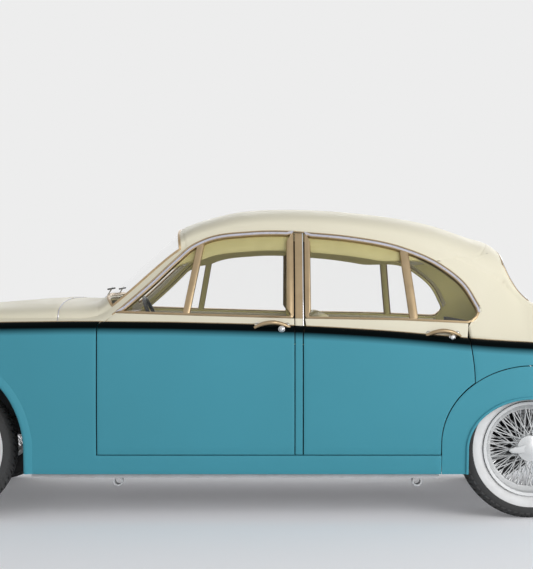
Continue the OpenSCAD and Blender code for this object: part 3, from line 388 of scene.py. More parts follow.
class NodeKit:
    """Short ways to lay shader nodes in one tree."""

    def __init__(self, tree: bpy.types.NodeTree) -> None:
        """Starts from the tree's own principled shader, if it has one.

        Args:
            tree: The tree.
        """
        self.tree = tree
        self.shader = tree.nodes.get("Principled BSDF")
        self.coords = self.node("TexCoord").outputs["Object"]

    def node(self, kind: str, inputs: dict[str | int, object] | None = None, **settings: str) -> bpy.types.Node:
        """A new shader node.

        Args:
            kind: Its type, less the opening word that all types share.
            inputs: Sockets to link, or constants, by the name or number of the input.
            settings: Values of the node's own properties.

        Returns:
            The node.
        """
        node = self.tree.nodes.new("ShaderNode" + kind)
        for key, value in settings.items():
            setattr(node, key, value)
        for key, value in (inputs or {}).items():
            socket = node.inputs[key]
            if isinstance(value, Socket):
                self.tree.links.new(value, socket)
            elif isinstance(value, tuple):
                socket.default_value = (*value, 1.0)[:len(socket.default_value)]
            else:
                socket.default_value = value
        return node

    def set(self, **values: float | Colour) -> None:
        """Sets constant sockets of the shader.

        Args:
            values: Values by socket, with underscores for the spaces in its name.
        """
        for key, value in values.items():
            socket = self.shader.inputs[key.replace("_", " ")]
            socket.default_value = (*value, 1.0) if isinstance(value, tuple) else value

    def link(self, out: Socket, socket: str) -> None:
        """Links a socket to one of the shader's inputs."""
        self.tree.links.new(out, self.shader.inputs[socket])

    def noise(self, scale: float, detail: float = 4.0, stretch: Triple = (1, 1, 1)) -> Socket:
        """A noise on Object coordinates.

        Args:
            scale: Noise scale per metre.
            detail: Octaves.
            stretch: Scale along each axis.

        Returns:
            The noise's grey value.
        """
        place = self.node("Mapping", {"Vector": self.coords, "Scale": stretch})
        noise = self.node("TexNoise", {"Vector": place.outputs["Vector"], "Scale": scale, "Detail": detail})
        return noise.outputs["Fac"]

    def span(self, value: Socket, low: float, high: float, lo: float = 0.35, hi: float = 0.65) -> Socket:
        """Maps a grey value from the span lo to hi onto low to high."""
        ends = {"Value": value, "From Min": lo, "From Max": hi, "To Min": low, "To Max": high}
        return self.node("MapRange", ends).outputs["Result"]

    def mix(self, share: Socket, a: Colour | Socket, b: Colour | Socket) -> Socket:
        """Mixes two colours; a share of 0 gives a and 1 gives b."""
        return self.node("Mix", {0: share, 6: a, 7: b}, data_type="RGBA").outputs[2]

    def shade(self, scale: float, detail: float, most: float, colour: str, other: str) -> Socket:
        """A colour code clouded by a noise with a share, most at its height, of another."""
        return self.mix(self.span(self.noise(scale, detail), 0.0, most), linear(colour), linear(other))

    def product(self, a: Socket, b: Socket | float) -> Socket:
        """Two grey values multiplied."""
        return self.node("Math", {0: a, 1: b}, operation="MULTIPLY").outputs[0]

    def bump(self, height: Socket, strength: float, distance: float = 0.001) -> None:
        """Drives the shader's normal from a height."""
        node = self.node("Bump", {"Height": height, "Strength": strength, "Distance": distance})
        self.link(node.outputs["Normal"], "Normal")

    def attribute(self, name: str) -> Socket:
        """A mesh attribute's grey value."""
        return self.node("Attribute", attribute_name=name).outputs["Fac"]

    def seen(self) -> Socket:
        """One where the camera sees a surface straight, mirrored or through glass.

        Returns:
            The share, which is nought for all other rays.
        """
        path = self.node("LightPath")
        share = path.outputs["Is Camera Ray"]
        for key in ("Is Glossy Ray", "Is Transmission Ray"):
            share = self.node("Math", {0: share, 1: path.outputs[key]}, operation="MAXIMUM").outputs[0]
        return share


def linear(code: str) -> Colour:
    """A colour code such as 4a97a8 as linear values."""
    parts = [int(code[i:i + 2], 16) / 255 for i in (0, 2, 4)]
    return tuple(c / 12.92 if c <= 0.04045 else ((c + 0.055) / 1.055) ** 2.4 for c in parts)


@dataclass(frozen=True)
class Paint(Finish):
    """Coach paint under a clear coat, with a little flake and road film; a band of painted shade may darken its
    shoulder below the belt.
    """

    name: str
    colour: str
    deep: str
    # Colour of a band of painted shade under the belt, or none.
    band: str = ""
    roughness: float = 0.3
    metallic: float = 0.0
    coat: float = 0.5
    specular: float = 0.5

    def build(self, nodes: NodeKit) -> None:
        """Lays broad random tone, flake and orange peel, and any band of painted shade below the belt.

        Args:
            nodes: The material's nodes.
        """
        tone = nodes.shade(1.4, 3.0, 0.35, self.colour, self.deep)
        # Painted shade: below the belt the colour fades to the near-black band colour and the gloss drops, standing in
        # for the shoulder turning away from the light.
        if self.band:
            share = nodes.span(nodes.attribute("below_belt"), 1.0, 0.0, 0.28, 0.62)
            tone = nodes.mix(share, tone, linear(self.band))
            nodes.link(nodes.span(share, self.specular, 0.03), "Specular IOR Level")
        nodes.link(tone, "Base Color")
        nodes.link(nodes.span(nodes.noise(9.0, 5.0), self.roughness - 0.04, self.roughness + 0.05), "Roughness")
        nodes.bump(nodes.noise(420.0, 2.0), 0.02, 0.0006)
        nodes.set(Metallic=self.metallic, Coat_Weight=self.coat, Coat_Roughness=0.06, IOR=1.5,
                  Specular_IOR_Level=self.specular)


@dataclass(frozen=True)
class BrightMetal(Finish):
    """Polished or plated metal with fine polishing marks and a faint bloom."""

    name: str
    colour: str
    tarnish: str
    roughness: float = 0.14
    grain: float = 0.05

    def build(self, nodes: NodeKit) -> None:
        """Lays bloom, polishing marks and uneven gloss.

        Args:
            nodes: The material's nodes.
        """
        nodes.link(nodes.shade(14.0, 5.0, 0.5, self.colour, self.tarnish), "Base Color")
        nodes.link(nodes.span(nodes.noise(60.0, 4.0), self.roughness - 0.04, self.roughness + 0.08), "Roughness")
        nodes.bump(nodes.noise(300.0, 2.0, (1.0, 1.0, 6.0)), self.grain, 0.0005)
        nodes.set(Metallic=1.0)


@dataclass(frozen=True)
class Moulded(Finish):
    """Rubber, plastic, trim cloth or painted iron: a grained dielectric."""

    name: str
    colour: str
    worn: str
    roughness: float = 0.6
    grain_scale: float = 300.0
    grain: float = 0.25
    sheen: float = 0.0
    # Painted light: an emission strength that brightens the finish though it is no lamp.
    glow: float = 0.0

    def build(self, nodes: NodeKit) -> None:
        """Lays wear, grain and uneven gloss; glow is painted light, an emission in the finish's own colour that lifts
        it where it lies in shade.

        Args:
            nodes: The material's nodes.
        """
        nodes.link(nodes.shade(18.0, 6.0, 0.6, self.colour, self.worn), "Base Color")
        nodes.link(nodes.span(nodes.noise(35.0, 5.0), self.roughness - 0.08, self.roughness + 0.1), "Roughness")
        nodes.bump(nodes.noise(self.grain_scale, 4.0), self.grain, 0.0012)
        nodes.set(Sheen_Weight=self.sheen, Emission_Color=linear(self.colour), Emission_Strength=self.glow)


@dataclass(frozen=True)
class Hide(Finish):
    """Seat hide with a pebbled grain and creases."""

    name: str
    colour: str
    worn: str

    def build(self, nodes: NodeKit) -> None:
        """Lays a cell grain over soft creases.

        Args:
            nodes: The material's nodes.
        """
        cells = nodes.node("TexVoronoi", {"Vector": nodes.coords, "Scale": 260.0})
        nodes.link(nodes.shade(11.0, 6.0, 0.7, self.colour, self.worn), "Base Color")
        nodes.link(nodes.span(nodes.noise(24.0, 5.0), 0.38, 0.55), "Roughness")
        nodes.bump(cells.outputs["Distance"], 0.25, 0.0008)
        nodes.set(Sheen_Weight=0.15)


@dataclass(frozen=True)
class Veneer(Finish):
    """Varnished veneer with long grain."""

    name: str
    light: str
    dark: str

    def build(self, nodes: NodeKit) -> None:
        """Lays long figure and short pores under varnish.

        Args:
            nodes: The material's nodes.
        """
        figure = nodes.noise(9.0, 8.0, (6.0, 1.0, 7.0))
        nodes.link(nodes.mix(nodes.span(figure, 0.0, 1.0, 0.4, 0.62), linear(self.light), linear(self.dark)),
                   "Base Color")
        nodes.link(nodes.span(nodes.noise(40.0, 4.0), 0.16, 0.28), "Roughness")
        nodes.bump(nodes.noise(160.0, 4.0, (6.0, 1.0, 6.0)), 0.06, 0.0006)
        nodes.set(Coat_Weight=0.7, Coat_Roughness=0.05)


@dataclass(frozen=True)
class Glazing(Finish):
    """Thin clear glass with a faint tint and wiped film."""

    name: str
    colour: str
    body: float = 0.07

    def build(self, nodes: NodeKit) -> None:
        """Lays a faint film over clear glass.

        Args:
            nodes: The material's nodes.
        """
        nodes.link(nodes.mix(nodes.span(nodes.noise(4.0, 3.0), 0.0, 1.0), linear(self.colour), (0.8, 0.86, 0.86)),
                   "Base Color")
        nodes.link(nodes.span(nodes.noise(20.0, 4.0), 0.015, 0.05), "Roughness")
        nodes.set(Alpha=self.body, IOR=1.5, Specular_IOR_Level=0.12)


# The teal's band colour is painted shade: near-black under the belt, where the curved shoulder falls into shade.
TEAL = Paint("teal_coach_paint", "4a9aac", "45909f", band="010607", roughness=0.42, coat=0.0, specular=0.16)
TEAL_PLAIN = Paint("teal_coach_paint_plain", "4a9aac", "45909f", roughness=0.42, coat=0.0, specular=0.16)
CREAM = Paint("cream_coach_paint", "e9e3cd", "e1dac0", roughness=0.42, coat=0.0, specular=0.2)
# Painted reflection and highlight: the same chrome is tinted brown where it mirrors brown surroundings, and made pale
# lilac where it shows bright highlight lines.
CHROME_BROWN_REFLECTION = BrightMetal("bronzed_window_brightwork", "b09b7c", "9c886a", 0.38)
CHROME_PAINTED_HIGHLIGHT = BrightMetal("satin_bright_band", "cfced8", "bdbcc4", 0.3)
CHROME = BrightMetal("polished_chrome", "dadce0", "c4c2ba", 0.1)
SILVER = Paint("silver_wheel_enamel", "dcdddd", "c8c9c9", roughness=0.35, metallic=0.25, coat=0.3)
WHITEWALL = Moulded("white_tyre_band", "e2e2e2", "d2d1cf", 0.55, 240.0, 0.1)
RUBBER = Moulded("tyre_rubber", "111112", "1a1a1a", 0.72, 200.0, 0.25)
SEAL = Moulded("black_seal_rubber", "121314", "1d1d1e", 0.5, 400.0, 0.15)
# Headlining and garnish are cream trim; their olive tint and their glow are painted light, the warm bounce and fill
# where the cabin lies in shade.
LINING = Moulded("cream_headlining", "b9b178", "c1b775", 0.8, 520.0, 0.3, sheen=0.2, glow=0.16)
TRIM_PAINT = Moulded("cream_garnish_enamel", "b8ae74", "aaa068", 0.5, 260.0, 0.05, glow=0.12)
HIDE = Hide("cream_seat_hide", "dcd3ae", "cabf97")
CARPET = Moulded("cabin_carpet", "6f6a4e", "5c573f", 0.95, 700.0, 0.9, sheen=0.4)
WOOD = Veneer("varnished_dash_veneer", "8a5426", "4f2c12")
RIM_BLACK = Moulded("black_moulded_rim", "0e0d0c", "181614", 0.42, 120.0, 0.03)
GLASS = Glazing("clear_window_glass", "e9efee", 0.02)
LENS = Glazing("fluted_lamp_glass", "eef2f2", 0.35)
AMBER = Moulded("amber_lens", "d98a3a", "c97a2a", 0.15, 90.0, 0.1)
RED = Moulded("red_lens", "a01f1c", "861512", 0.15, 90.0, 0.1)
# Painted light: the floor pan is made pale so that, where it shows under the sills, it reads as the lit floor beyond
# the car.
FLOOR_PAN_PAINTED_LIGHT = Moulded("floor_pan_painted_light", "c4c5c7", "b4b3b1", 0.6, 160.0, 0.3)
UNDERSEAL = Moulded("black_underbody_paint", "26272a", "35332f", 0.7, 160.0, 0.4)
IRON = Moulded("painted_engine_iron", "5b5d60", "4a4644", 0.55, 140.0, 0.35)
STEEL = BrightMetal("machined_steel", "85878a", "6b6a66", 0.32, 0.15)


def quads(rows: int, cols: int, loop_rows: bool, loop_cols: bool) -> Faces:
    """Faces between the points of a grid, numbered row by row.

    Args:
        rows: Rows of the grid.
        cols: Columns of the grid.
        loop_rows: Whether the last row joins the first.
        loop_cols: Whether the last column joins the first.

    Returns:
        The faces.
    """
    return [(i * cols + j, i * cols + (j + 1) % cols, (i + 1) % rows * cols + (j + 1) % cols,
             (i + 1) % rows * cols + j)
            for i in range(rows - (not loop_rows)) for j in range(cols - (not loop_cols))]


class Modeller:
    """Making, finishing and placing of meshes, by Blender's operators where they serve."""

    @staticmethod
    def only(obj: Piece) -> None:
        """Selects one object alone and makes it active.

        Args:
            obj: The object.
        """
        bpy.ops.object.select_all(action="DESELECT")
        obj.select_set(True)
        bpy.context.view_layer.objects.active = obj

    @staticmethod
    def mesh(name: str, points: Points, faces: Sequence[Sequence[int]]) -> Piece:
        """A new object from points in millimetres and faces.

        Args:
            name: Its name.
            points: Points.
            faces: Numbers of each face's points.

        Returns:
            The new object.
        """
        data = bpy.data.meshes.new(name)
        data.from_pydata((np.asarray(points, float) * MM).tolist(), [], [list(map(int, f)) for f in faces])
        data.update()
        obj = bpy.data.objects.new(name, data)
        bpy.context.scene.collection.objects.link(obj)
        return obj

    @classmethod
    def outward(cls, obj: Piece, merge: float = 0.00002) -> None:
        """Merges doubles and turns all faces outwards.

        Args:
            obj: The object.
            merge: Points nearer than this, in metres, become one.
        """
        cls.only(obj)
        bpy.ops.object.mode_set(mode="EDIT")
        bpy.ops.mesh.select_all(action="SELECT")
        bpy.ops.mesh.remove_doubles(threshold=merge)
        bpy.ops.mesh.normals_make_consistent(inside=False)
        bpy.ops.object.mode_set(mode="OBJECT")

    @classmethod
    def bevel(cls, obj: Piece, width: float, segments: int = 2, angle: float = 40.0,
              plain: Callable[[Vector], bool] | None = None) -> None:
        """Rounds an object's sharp edges by a bevel that is applied.

        Args:
            obj: The object.
            width: Width in millimetres.
            segments: Segments of the rounding.
            angle: Edges flatter than this stay as they are.
            plain: Tells of a point in metres whether its edges stay sharp.
        """
        cls.only(obj)
        mod = obj.modifiers.new("edge", "BEVEL")
        mod.width, mod.segments = width * MM, segments
        mod.limit_method, mod.angle_limit = "ANGLE", math.radians(angle)
        if plain is not None:
            mesh = bmesh.new()
            mesh.from_mesh(obj.data)
            weight = mesh.edges.layers.float.new("bevel_weight_edge")
            for e in mesh.edges:
                sharp = e.calc_face_angle(0.0) > math.radians(angle)
                e[weight] = float(sharp and not all(plain(v.co) for v in e.verts))
            mesh.to_mesh(obj.data)
            mesh.free()
            mod.limit_method = "WEIGHT"
        bpy.ops.object.modifier_apply(modifier=mod.name)

    @classmethod
    def smooth(cls, obj: Piece, angle: float = 35.0) -> None:
        """Shades smooth across edges flatter than the angle."""
        cls.only(obj)
        bpy.ops.object.shade_smooth_by_angle(angle=math.radians(angle))

    @classmethod
    def place(cls, obj: Piece, finish: Finish, body: str, slot: str = "",
              nodes: Sequence[str] = ()) -> Piece:
        """Dresses a piece and makes it ride on its body.

        Args:
            obj: The finished mesh.
            finish: Its finish.
            body: The body it moves with.
            slot: Not used.
            nodes: CAD nodes that the piece stands for.

        Returns:
            The same object.
        """
        obj.data.materials.clear()
        obj.data.materials.append(finish.material())
        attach(obj, body)
        if nodes:
            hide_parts(*nodes)
        LOG.info("%s: %d faces, %s, on %s", obj.name, len(obj.data.polygons), finish.name, body)
        return obj

    @classmethod
    def piece(cls, name: str, parts: Sequence[Piece], finish: Finish, body: str, slot: str = "",
              nodes: Sequence[str] = (), angle: float = 40.0) -> Piece:
        """Joins parts into one piece, shades it smooth and places it.

        Args:
            name: Name of the piece.
            parts: What it is joined from.
            finish: Its finish.
            body: The body it moves with.
            slot: The record's material slot, if any.
            nodes: CAD nodes that the piece stands for.
            angle: Edges flatter than this are shaded smooth.

        Returns:
            The piece.
        """
        cls.only(parts[0])
        for p in parts:
            p.select_set(True)
        if len(parts) > 1:
            bpy.ops.object.join()
        obj = bpy.context.view_layer.objects.active
        obj.name = obj.data.name = name
        cls.smooth(obj, angle)
        return cls.place(obj, finish, body, slot, nodes)

    @staticmethod
    def points(obj: Piece, key: str = "co") -> Points:
        """The places of the mesh's points in metres, or their normals.

        Args:
            obj: The object.
            key: co for places, normal for normals.

        Returns:
            A row for each point.
        """
        values = np.empty(len(obj.data.vertices) * 3)
        obj.data.vertices.foreach_get(key, values)
        return values.reshape(-1, 3)

    @classmethod
    def copy_of(cls, node: str, name: str) -> Piece:
        """A merged copy of a solid's mesh as a new object at the origin.

        Args:
            node: The solid's node.
            name: Name of the copy.

        Returns:
            The new object.
        """
        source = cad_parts[node]
        data = source.data.copy()
        data.transform(source.matrix_world)
        obj = bpy.data.objects.new(name, data)
        data.name = name
        bpy.context.scene.collection.objects.link(obj)
        cls.outward(obj, 0.0002)
        return obj

    @classmethod
    def plate(cls, name: str, outline: Points, x0: float, x1: float, round_mm: float) -> Piece:
        """A flat plate across the car from an outline of [y, z] points in millimetres, between two places of X.

        Args:
            name: Its name.
            outline: The outline.
            x0: Front face.
            x1: Rear face.
            round_mm: Rounding of its edges, or 0.

        Returns:
            The new object.
        """
        n = len(outline)
        pts = np.concatenate([np.column_stack([np.full(n, x), outline]) for x in (x0, x1)])
        faces = [tuple(range(n)), tuple(range(2 * n - 1, n - 1, -1))]
        faces += quads(2, n, False, True)
        obj = cls.mesh(name, pts, faces)
        cls.outward(obj)
        if round_mm:
            cls.bevel(obj, round_mm, 2, 50)
        return obj

    @classmethod
    def lathe(cls, name: str, profile: Sequence[Pair], steps: int, centre: Sequence[float], axis: Sequence[float],
              closed: bool = True) -> Piece:
        """A turned piece.

        Args:
            name: Name of the piece.
            profile: Pairs of radius and height along the axis, in millimetres.
            steps: Steps of the turn.
            centre: A point of the axis, in millimetres.
            axis: Direction of the axis.
            closed: Whether the profile runs back to its start.

        Returns:
            The turned mesh.
        """
        a = Vector(axis).normalized()
        out = a.orthogonal().normalized()
        c = Vector(centre)
        pts = [tuple(c + out * r + a * h) for r, h in profile]
        n = len(pts)
        obj = cls.mesh(name, np.array(pts), [])
        obj.data.edges.add(n if closed else n - 1)
        for i, e in enumerate(obj.data.edges):
            e.vertices = (i, (i + 1) % n)
        cls.only(obj)
        bpy.ops.object.mode_set(mode="EDIT")
        bpy.ops.mesh.select_all(action="SELECT")
        bpy.ops.mesh.spin(steps=steps, angle=2 * math.pi, center=c * MM, axis=a)
        bpy.ops.object.mode_set(mode="OBJECT")
        cls.outward(obj)
        return obj

    @classmethod
    def tube(cls, name: str, points: Points, radius: float, sides: int = 3, closed: bool = False,
             radii: Points | None = None) -> Piece:
        """A round rod along points by a bevelled curve made a mesh.

        Args:
            name: Name of the piece.
            points: Points of its middle line in millimetres.
            radius: Its radius in millimetres.
            sides: Resolution of the round.
            closed: Whether the line closes on itself.
            radii: Share of the radius at each point, or the whole radius.

        Returns:
            The rod's mesh.
        """
        curve = bpy.data.curves.new(name, "CURVE")
        curve.dimensions = "3D"
        curve.bevel_depth, curve.bevel_resolution, curve.use_fill_caps = radius * MM, sides, True
        spline = curve.splines.new("POLY")
        spline.points.add(len(points) - 1)
        for p, q in zip(spline.points, np.asarray(points, float) * MM):
            p.co = (*q, 1.0)
        if radii is not None:
            spline.points.foreach_set("radius", radii.astype(np.float32))
        spline.use_cyclic_u = closed
        obj = bpy.data.objects.new(name, curve)
        bpy.context.scene.collection.objects.link(obj)
        cls.only(obj)
        bpy.ops.object.convert(target="MESH")
        return bpy.context.view_layer.objects.active

    @classmethod
    def block(cls, name: str, low: Sequence[float], high: Sequence[float], round_mm: float,
              segments: int = 3) -> Piece:
        """A rounded block between two corners in millimetres, from a cube set to size in edit mode.

        Args:
            name: Its name.
            low: Low corner.
            high: High corner.
            round_mm: Rounding of its edges.
            segments: Segments of the rounding.

        Returns:
            The new object.
        """
        bpy.ops.object.select_all(action="DESELECT")
        bpy.ops.mesh.primitive_cube_add(size=2)
        obj = bpy.context.view_layer.objects.active
        obj.name = obj.data.name = name
        lo, hi = np.array(low) * MM, np.array(high) * MM
        bpy.ops.object.mode_set(mode="EDIT")
        bpy.ops.mesh.select_all(action="SELECT")
        bpy.ops.transform.resize(value=tuple((hi - lo) / 2))
        bpy.ops.transform.translate(value=tuple((hi + lo) / 2))
        bpy.ops.object.mode_set(mode="OBJECT")
        cls.bevel(obj, round_mm, segments)
        return obj


@dataclass
class Sheet:
    """A closed panel between an outer and an inner grid of points.

    Rows run up the car and columns rearwards, seen from the left; a ring's columns close on themselves.
    """

    outer: Points
    inner: Points
    ring: bool = False

    @classmethod
    def on_skin(cls, x: Points, s: Points, thick: Points | float, depth: Points | float = 0.0,
                ring: bool = False) -> "Sheet":
        """A panel of a given thickness that starts at a depth under the skin.

        Args:
            x: Places along the car.
            s: Positions round the section.
            thick: Thickness.
            depth: Depth of its outer face.
            ring: Whether its columns close.

        Returns:
            The panel.
        """
        d = np.broadcast_to(np.asarray(depth, float), x.shape)
        t = np.broadcast_to(np.asarray(thick, float), x.shape)
        return cls(BODY.under(x, s, d), BODY.under(x, s, d + t), ring)

    def parts(self, flip: bool) -> tuple[Points, Faces]:
        """Points and faces of the panel, mirrored to the right side if flip is set.

        Args:
            flip: Whether it is the right side's.

        Returns:
            The points and the faces.
        """
        rows, cols = self.outer.shape[:2]
        m = rows * cols
        pts = np.concatenate([self.outer.reshape(-1, 3), self.inner.reshape(-1, 3)])
        last = cols if self.ring else cols - 1
        faces: Faces = []
        for j in range(last):
            for i in range(rows - 1):
                a, b = i * cols + j, i * cols + (j + 1) % cols
                c, d = b + cols, a + cols
                faces += [(a, b, c, d), (m + a, m + d, m + c, m + b)]
            a, b = j, (j + 1) % cols
            d, c = m - cols + j, m - cols + (j + 1) % cols
            faces += [(a, m + a, m + b, b), (d, c, m + c, m + d)]
        if not self.ring:
            for i in range(rows - 1):
                a, b = i * cols, i * cols + cols - 1
                d, c = a + cols, b + cols
                faces += [(a, d, m + d, m + a), (c, b, m + b, m + c)]
        if flip:
            pts = pts * np.array([1, -1, 1])
            faces = [f[::-1] for f in faces]
        return pts, faces

    def build(self, name: str, sides: Sequence[Side] = (Side.LEFT,), edge: float = 1.6,
              band: bool = False, plain: Callable[[Vector], bool] | None = None) -> Piece:
        """Makes the panel's mesh.

        Args:
            name: Name of the piece.
            sides: The sides it is made on.
            edge: Width of the rounded edge in millimetres, or 0.
            band: Whether to keep the depth below the belt as an attribute, which places the teal paint's painted shade
                band.
            plain: Tells of a point in metres whether its edges stay sharp.

        Returns:
            The new object.
        """
        pts: list[Points] = []
        faces: Faces = []
        for side in sides:
            p, f = self.parts(side is Side.RIGHT)
            base = sum(map(len, pts))
            pts.append(p)
            faces += [tuple(base + k for k in face) for face in f]
        obj = Modeller.mesh(name, np.concatenate(pts), faces)
        if edge:
            Modeller.bevel(obj, edge, 2, 50, plain)
        if band:
            # The depth below the belt places the painted shade band on the teal paint.
            co = Modeller.points(obj) / MM
            low = (BODY.at(co[:, 0], Station.Z_BELT) - co[:, 2]) / 100
            obj.data.attributes.new("below_belt", "FLOAT", "POINT").data.foreach_set("value", low.astype(np.float32))
        Modeller.smooth(obj, 38)
        return obj


def swept(points: Points, normals: Points, profile: Sequence[Pair], closed: bool) -> tuple[Points, Faces]:
    """A bar swept along a line on the skin.

    Args:
        points: Points of the line.
        normals: Outward normals there.
        profile: Closed section as pairs of distance to the line's left and height over it.
        closed: Whether the line closes on itself.

    Returns:
        Points and faces.
    """
    tangent = np.roll(points, -1, 0) - np.roll(points, 1, 0) if closed else np.gradient(points, axis=0)
    tangent /= np.linalg.norm(tangent, axis=1, keepdims=True)
    left = np.cross(normals, tangent)
    left /= np.linalg.norm(left, axis=1, keepdims=True)
    out = np.cross(tangent, left)
    u, v = np.array(profile, float).T
    grid = points[:, None] + left[:, None] * u[None, :, None] + out[:, None] * v[None, :, None]
    n, k = grid.shape[:2]
    faces = quads(n, k, closed, True)
    if not closed:
        faces += [tuple(range(k - 1, -1, -1)), tuple((n - 1) * k + j for j in range(k))]
    return grid.reshape(-1, 3), faces


def swept_piece(name: str, lines: Sequence[tuple[Points, Points]], profile: Sequence[Pair], closed: bool = False,
                sides: Sequence[Side] = (Side.LEFT,)) -> Piece:
    """One mesh of swept bars.

    Args:
        name: Name of the piece.
        lines: Pairs of X and section position of each line.
        profile: Section of the bar.
        closed: Whether the lines close on themselves.
        sides: The sides it is made on.

    Returns:
        The new object.
    """
    pts: list[Points] = []
    faces: Faces = []
    for x, s in lines:
        p, f = swept(BODY.skin(x, s), BODY.normal(x, s), profile, closed)
        for side in sides:
            base = sum(map(len, pts))
            pts.append(p * np.array([1, -side.value, 1]))
            faces += [tuple(base + k for k in face) for face in f]
    obj = Modeller.mesh(name, np.concatenate(pts), faces)
    Modeller.outward(obj)
    Modeller.smooth(obj, 50)
    return obj


HALF_ROUND: Profile = ((-3.5, -2), (-3.5, 0), (-2.4, 1.6), (0, 2.3), (2.4, 1.6), (3.5, 0), (3.5, -2))
SCREEN_RUBBER: Profile = ((-6, -10), (-6, 1), (-3, 2.6), (4, 2), (6, 0), (6, -10))
REAR_RUBBER: Profile = ((-9, -10), (-9, 2), (-4, 4), (4, 3), (6, 0), (6, -10))
BOTH = (Side.LEFT, Side.RIGHT)
ROOT = "car_body"


def arch_z(x: Points, centre: float, arch: Triple, grow: float = 0.0) -> Points:
    """Height of a wheel cut-out's edge; the arch is its centre height, half length and height.

    Args:
        x: Places along the car.
        centre: The wheel's place.
        arch: The cut-out.
        grow: How far outside the cut-out.

    Returns:
        The heights.
    """
    t = (x - centre) / (arch[1] + grow)
    return np.where(np.abs(t) > 1.0001, BODY.at(x, Station.Z_SILL),
                    arch[0] + (arch[2] + grow) * np.sqrt(np.clip(1 - t**2, 0, 1)))


def arch_xs(centre: float, arch: Triple, a0: float, a1: float, n: int, grow: float = 0.0) -> Points:
    """X of points spread evenly round a wheel cut-out between two angles."""
    return centre - (arch[1] + grow) * np.cos(np.radians(np.linspace(a0, a1, n)))


FRONT_ARCH = (326.0, 374.0, 415.0)
SPAT = (360.0, 420.0, 356.0)
SPAT_OPENING = (330.0, 300.0, 234.0)
FLARE: Profile = ((-2, -12), (-2.5, 1), (-1, 4.5), (3, 7), (9, 7.6), (17, 6.2), (26, 3.4), (36, 0.8), (42, -1.5),
                           (30, -4))
ROLLED_LIP: Profile = ((-3, -8), (-3.5, 3), (-1.5, 6.5), (2, 8), (6, 7.6), (9, 5.6), (10.5, 2), (11, -3))
LOW_ROWS, SHOULDER_ROWS = 16, 10


def side_rows(x: Points, foot: Points) -> Points:
    """Section positions of the rows of a side panel, from its foot to the belt.

    Args:
        x: Places of the columns.
        foot: Height of each column's foot.

    Returns:
        A row for each line.
    """
    low = BODY.s_of(x, foot)
    up = np.linspace(0, 1, LOW_ROWS)[:, None]
    rows = low + (2 / 3 - low) * up
    top = np.linspace(2 / 3, 1, SHOULDER_ROWS + 1)[1:, None] * np.ones_like(low)
    return np.concatenate([rows, top])


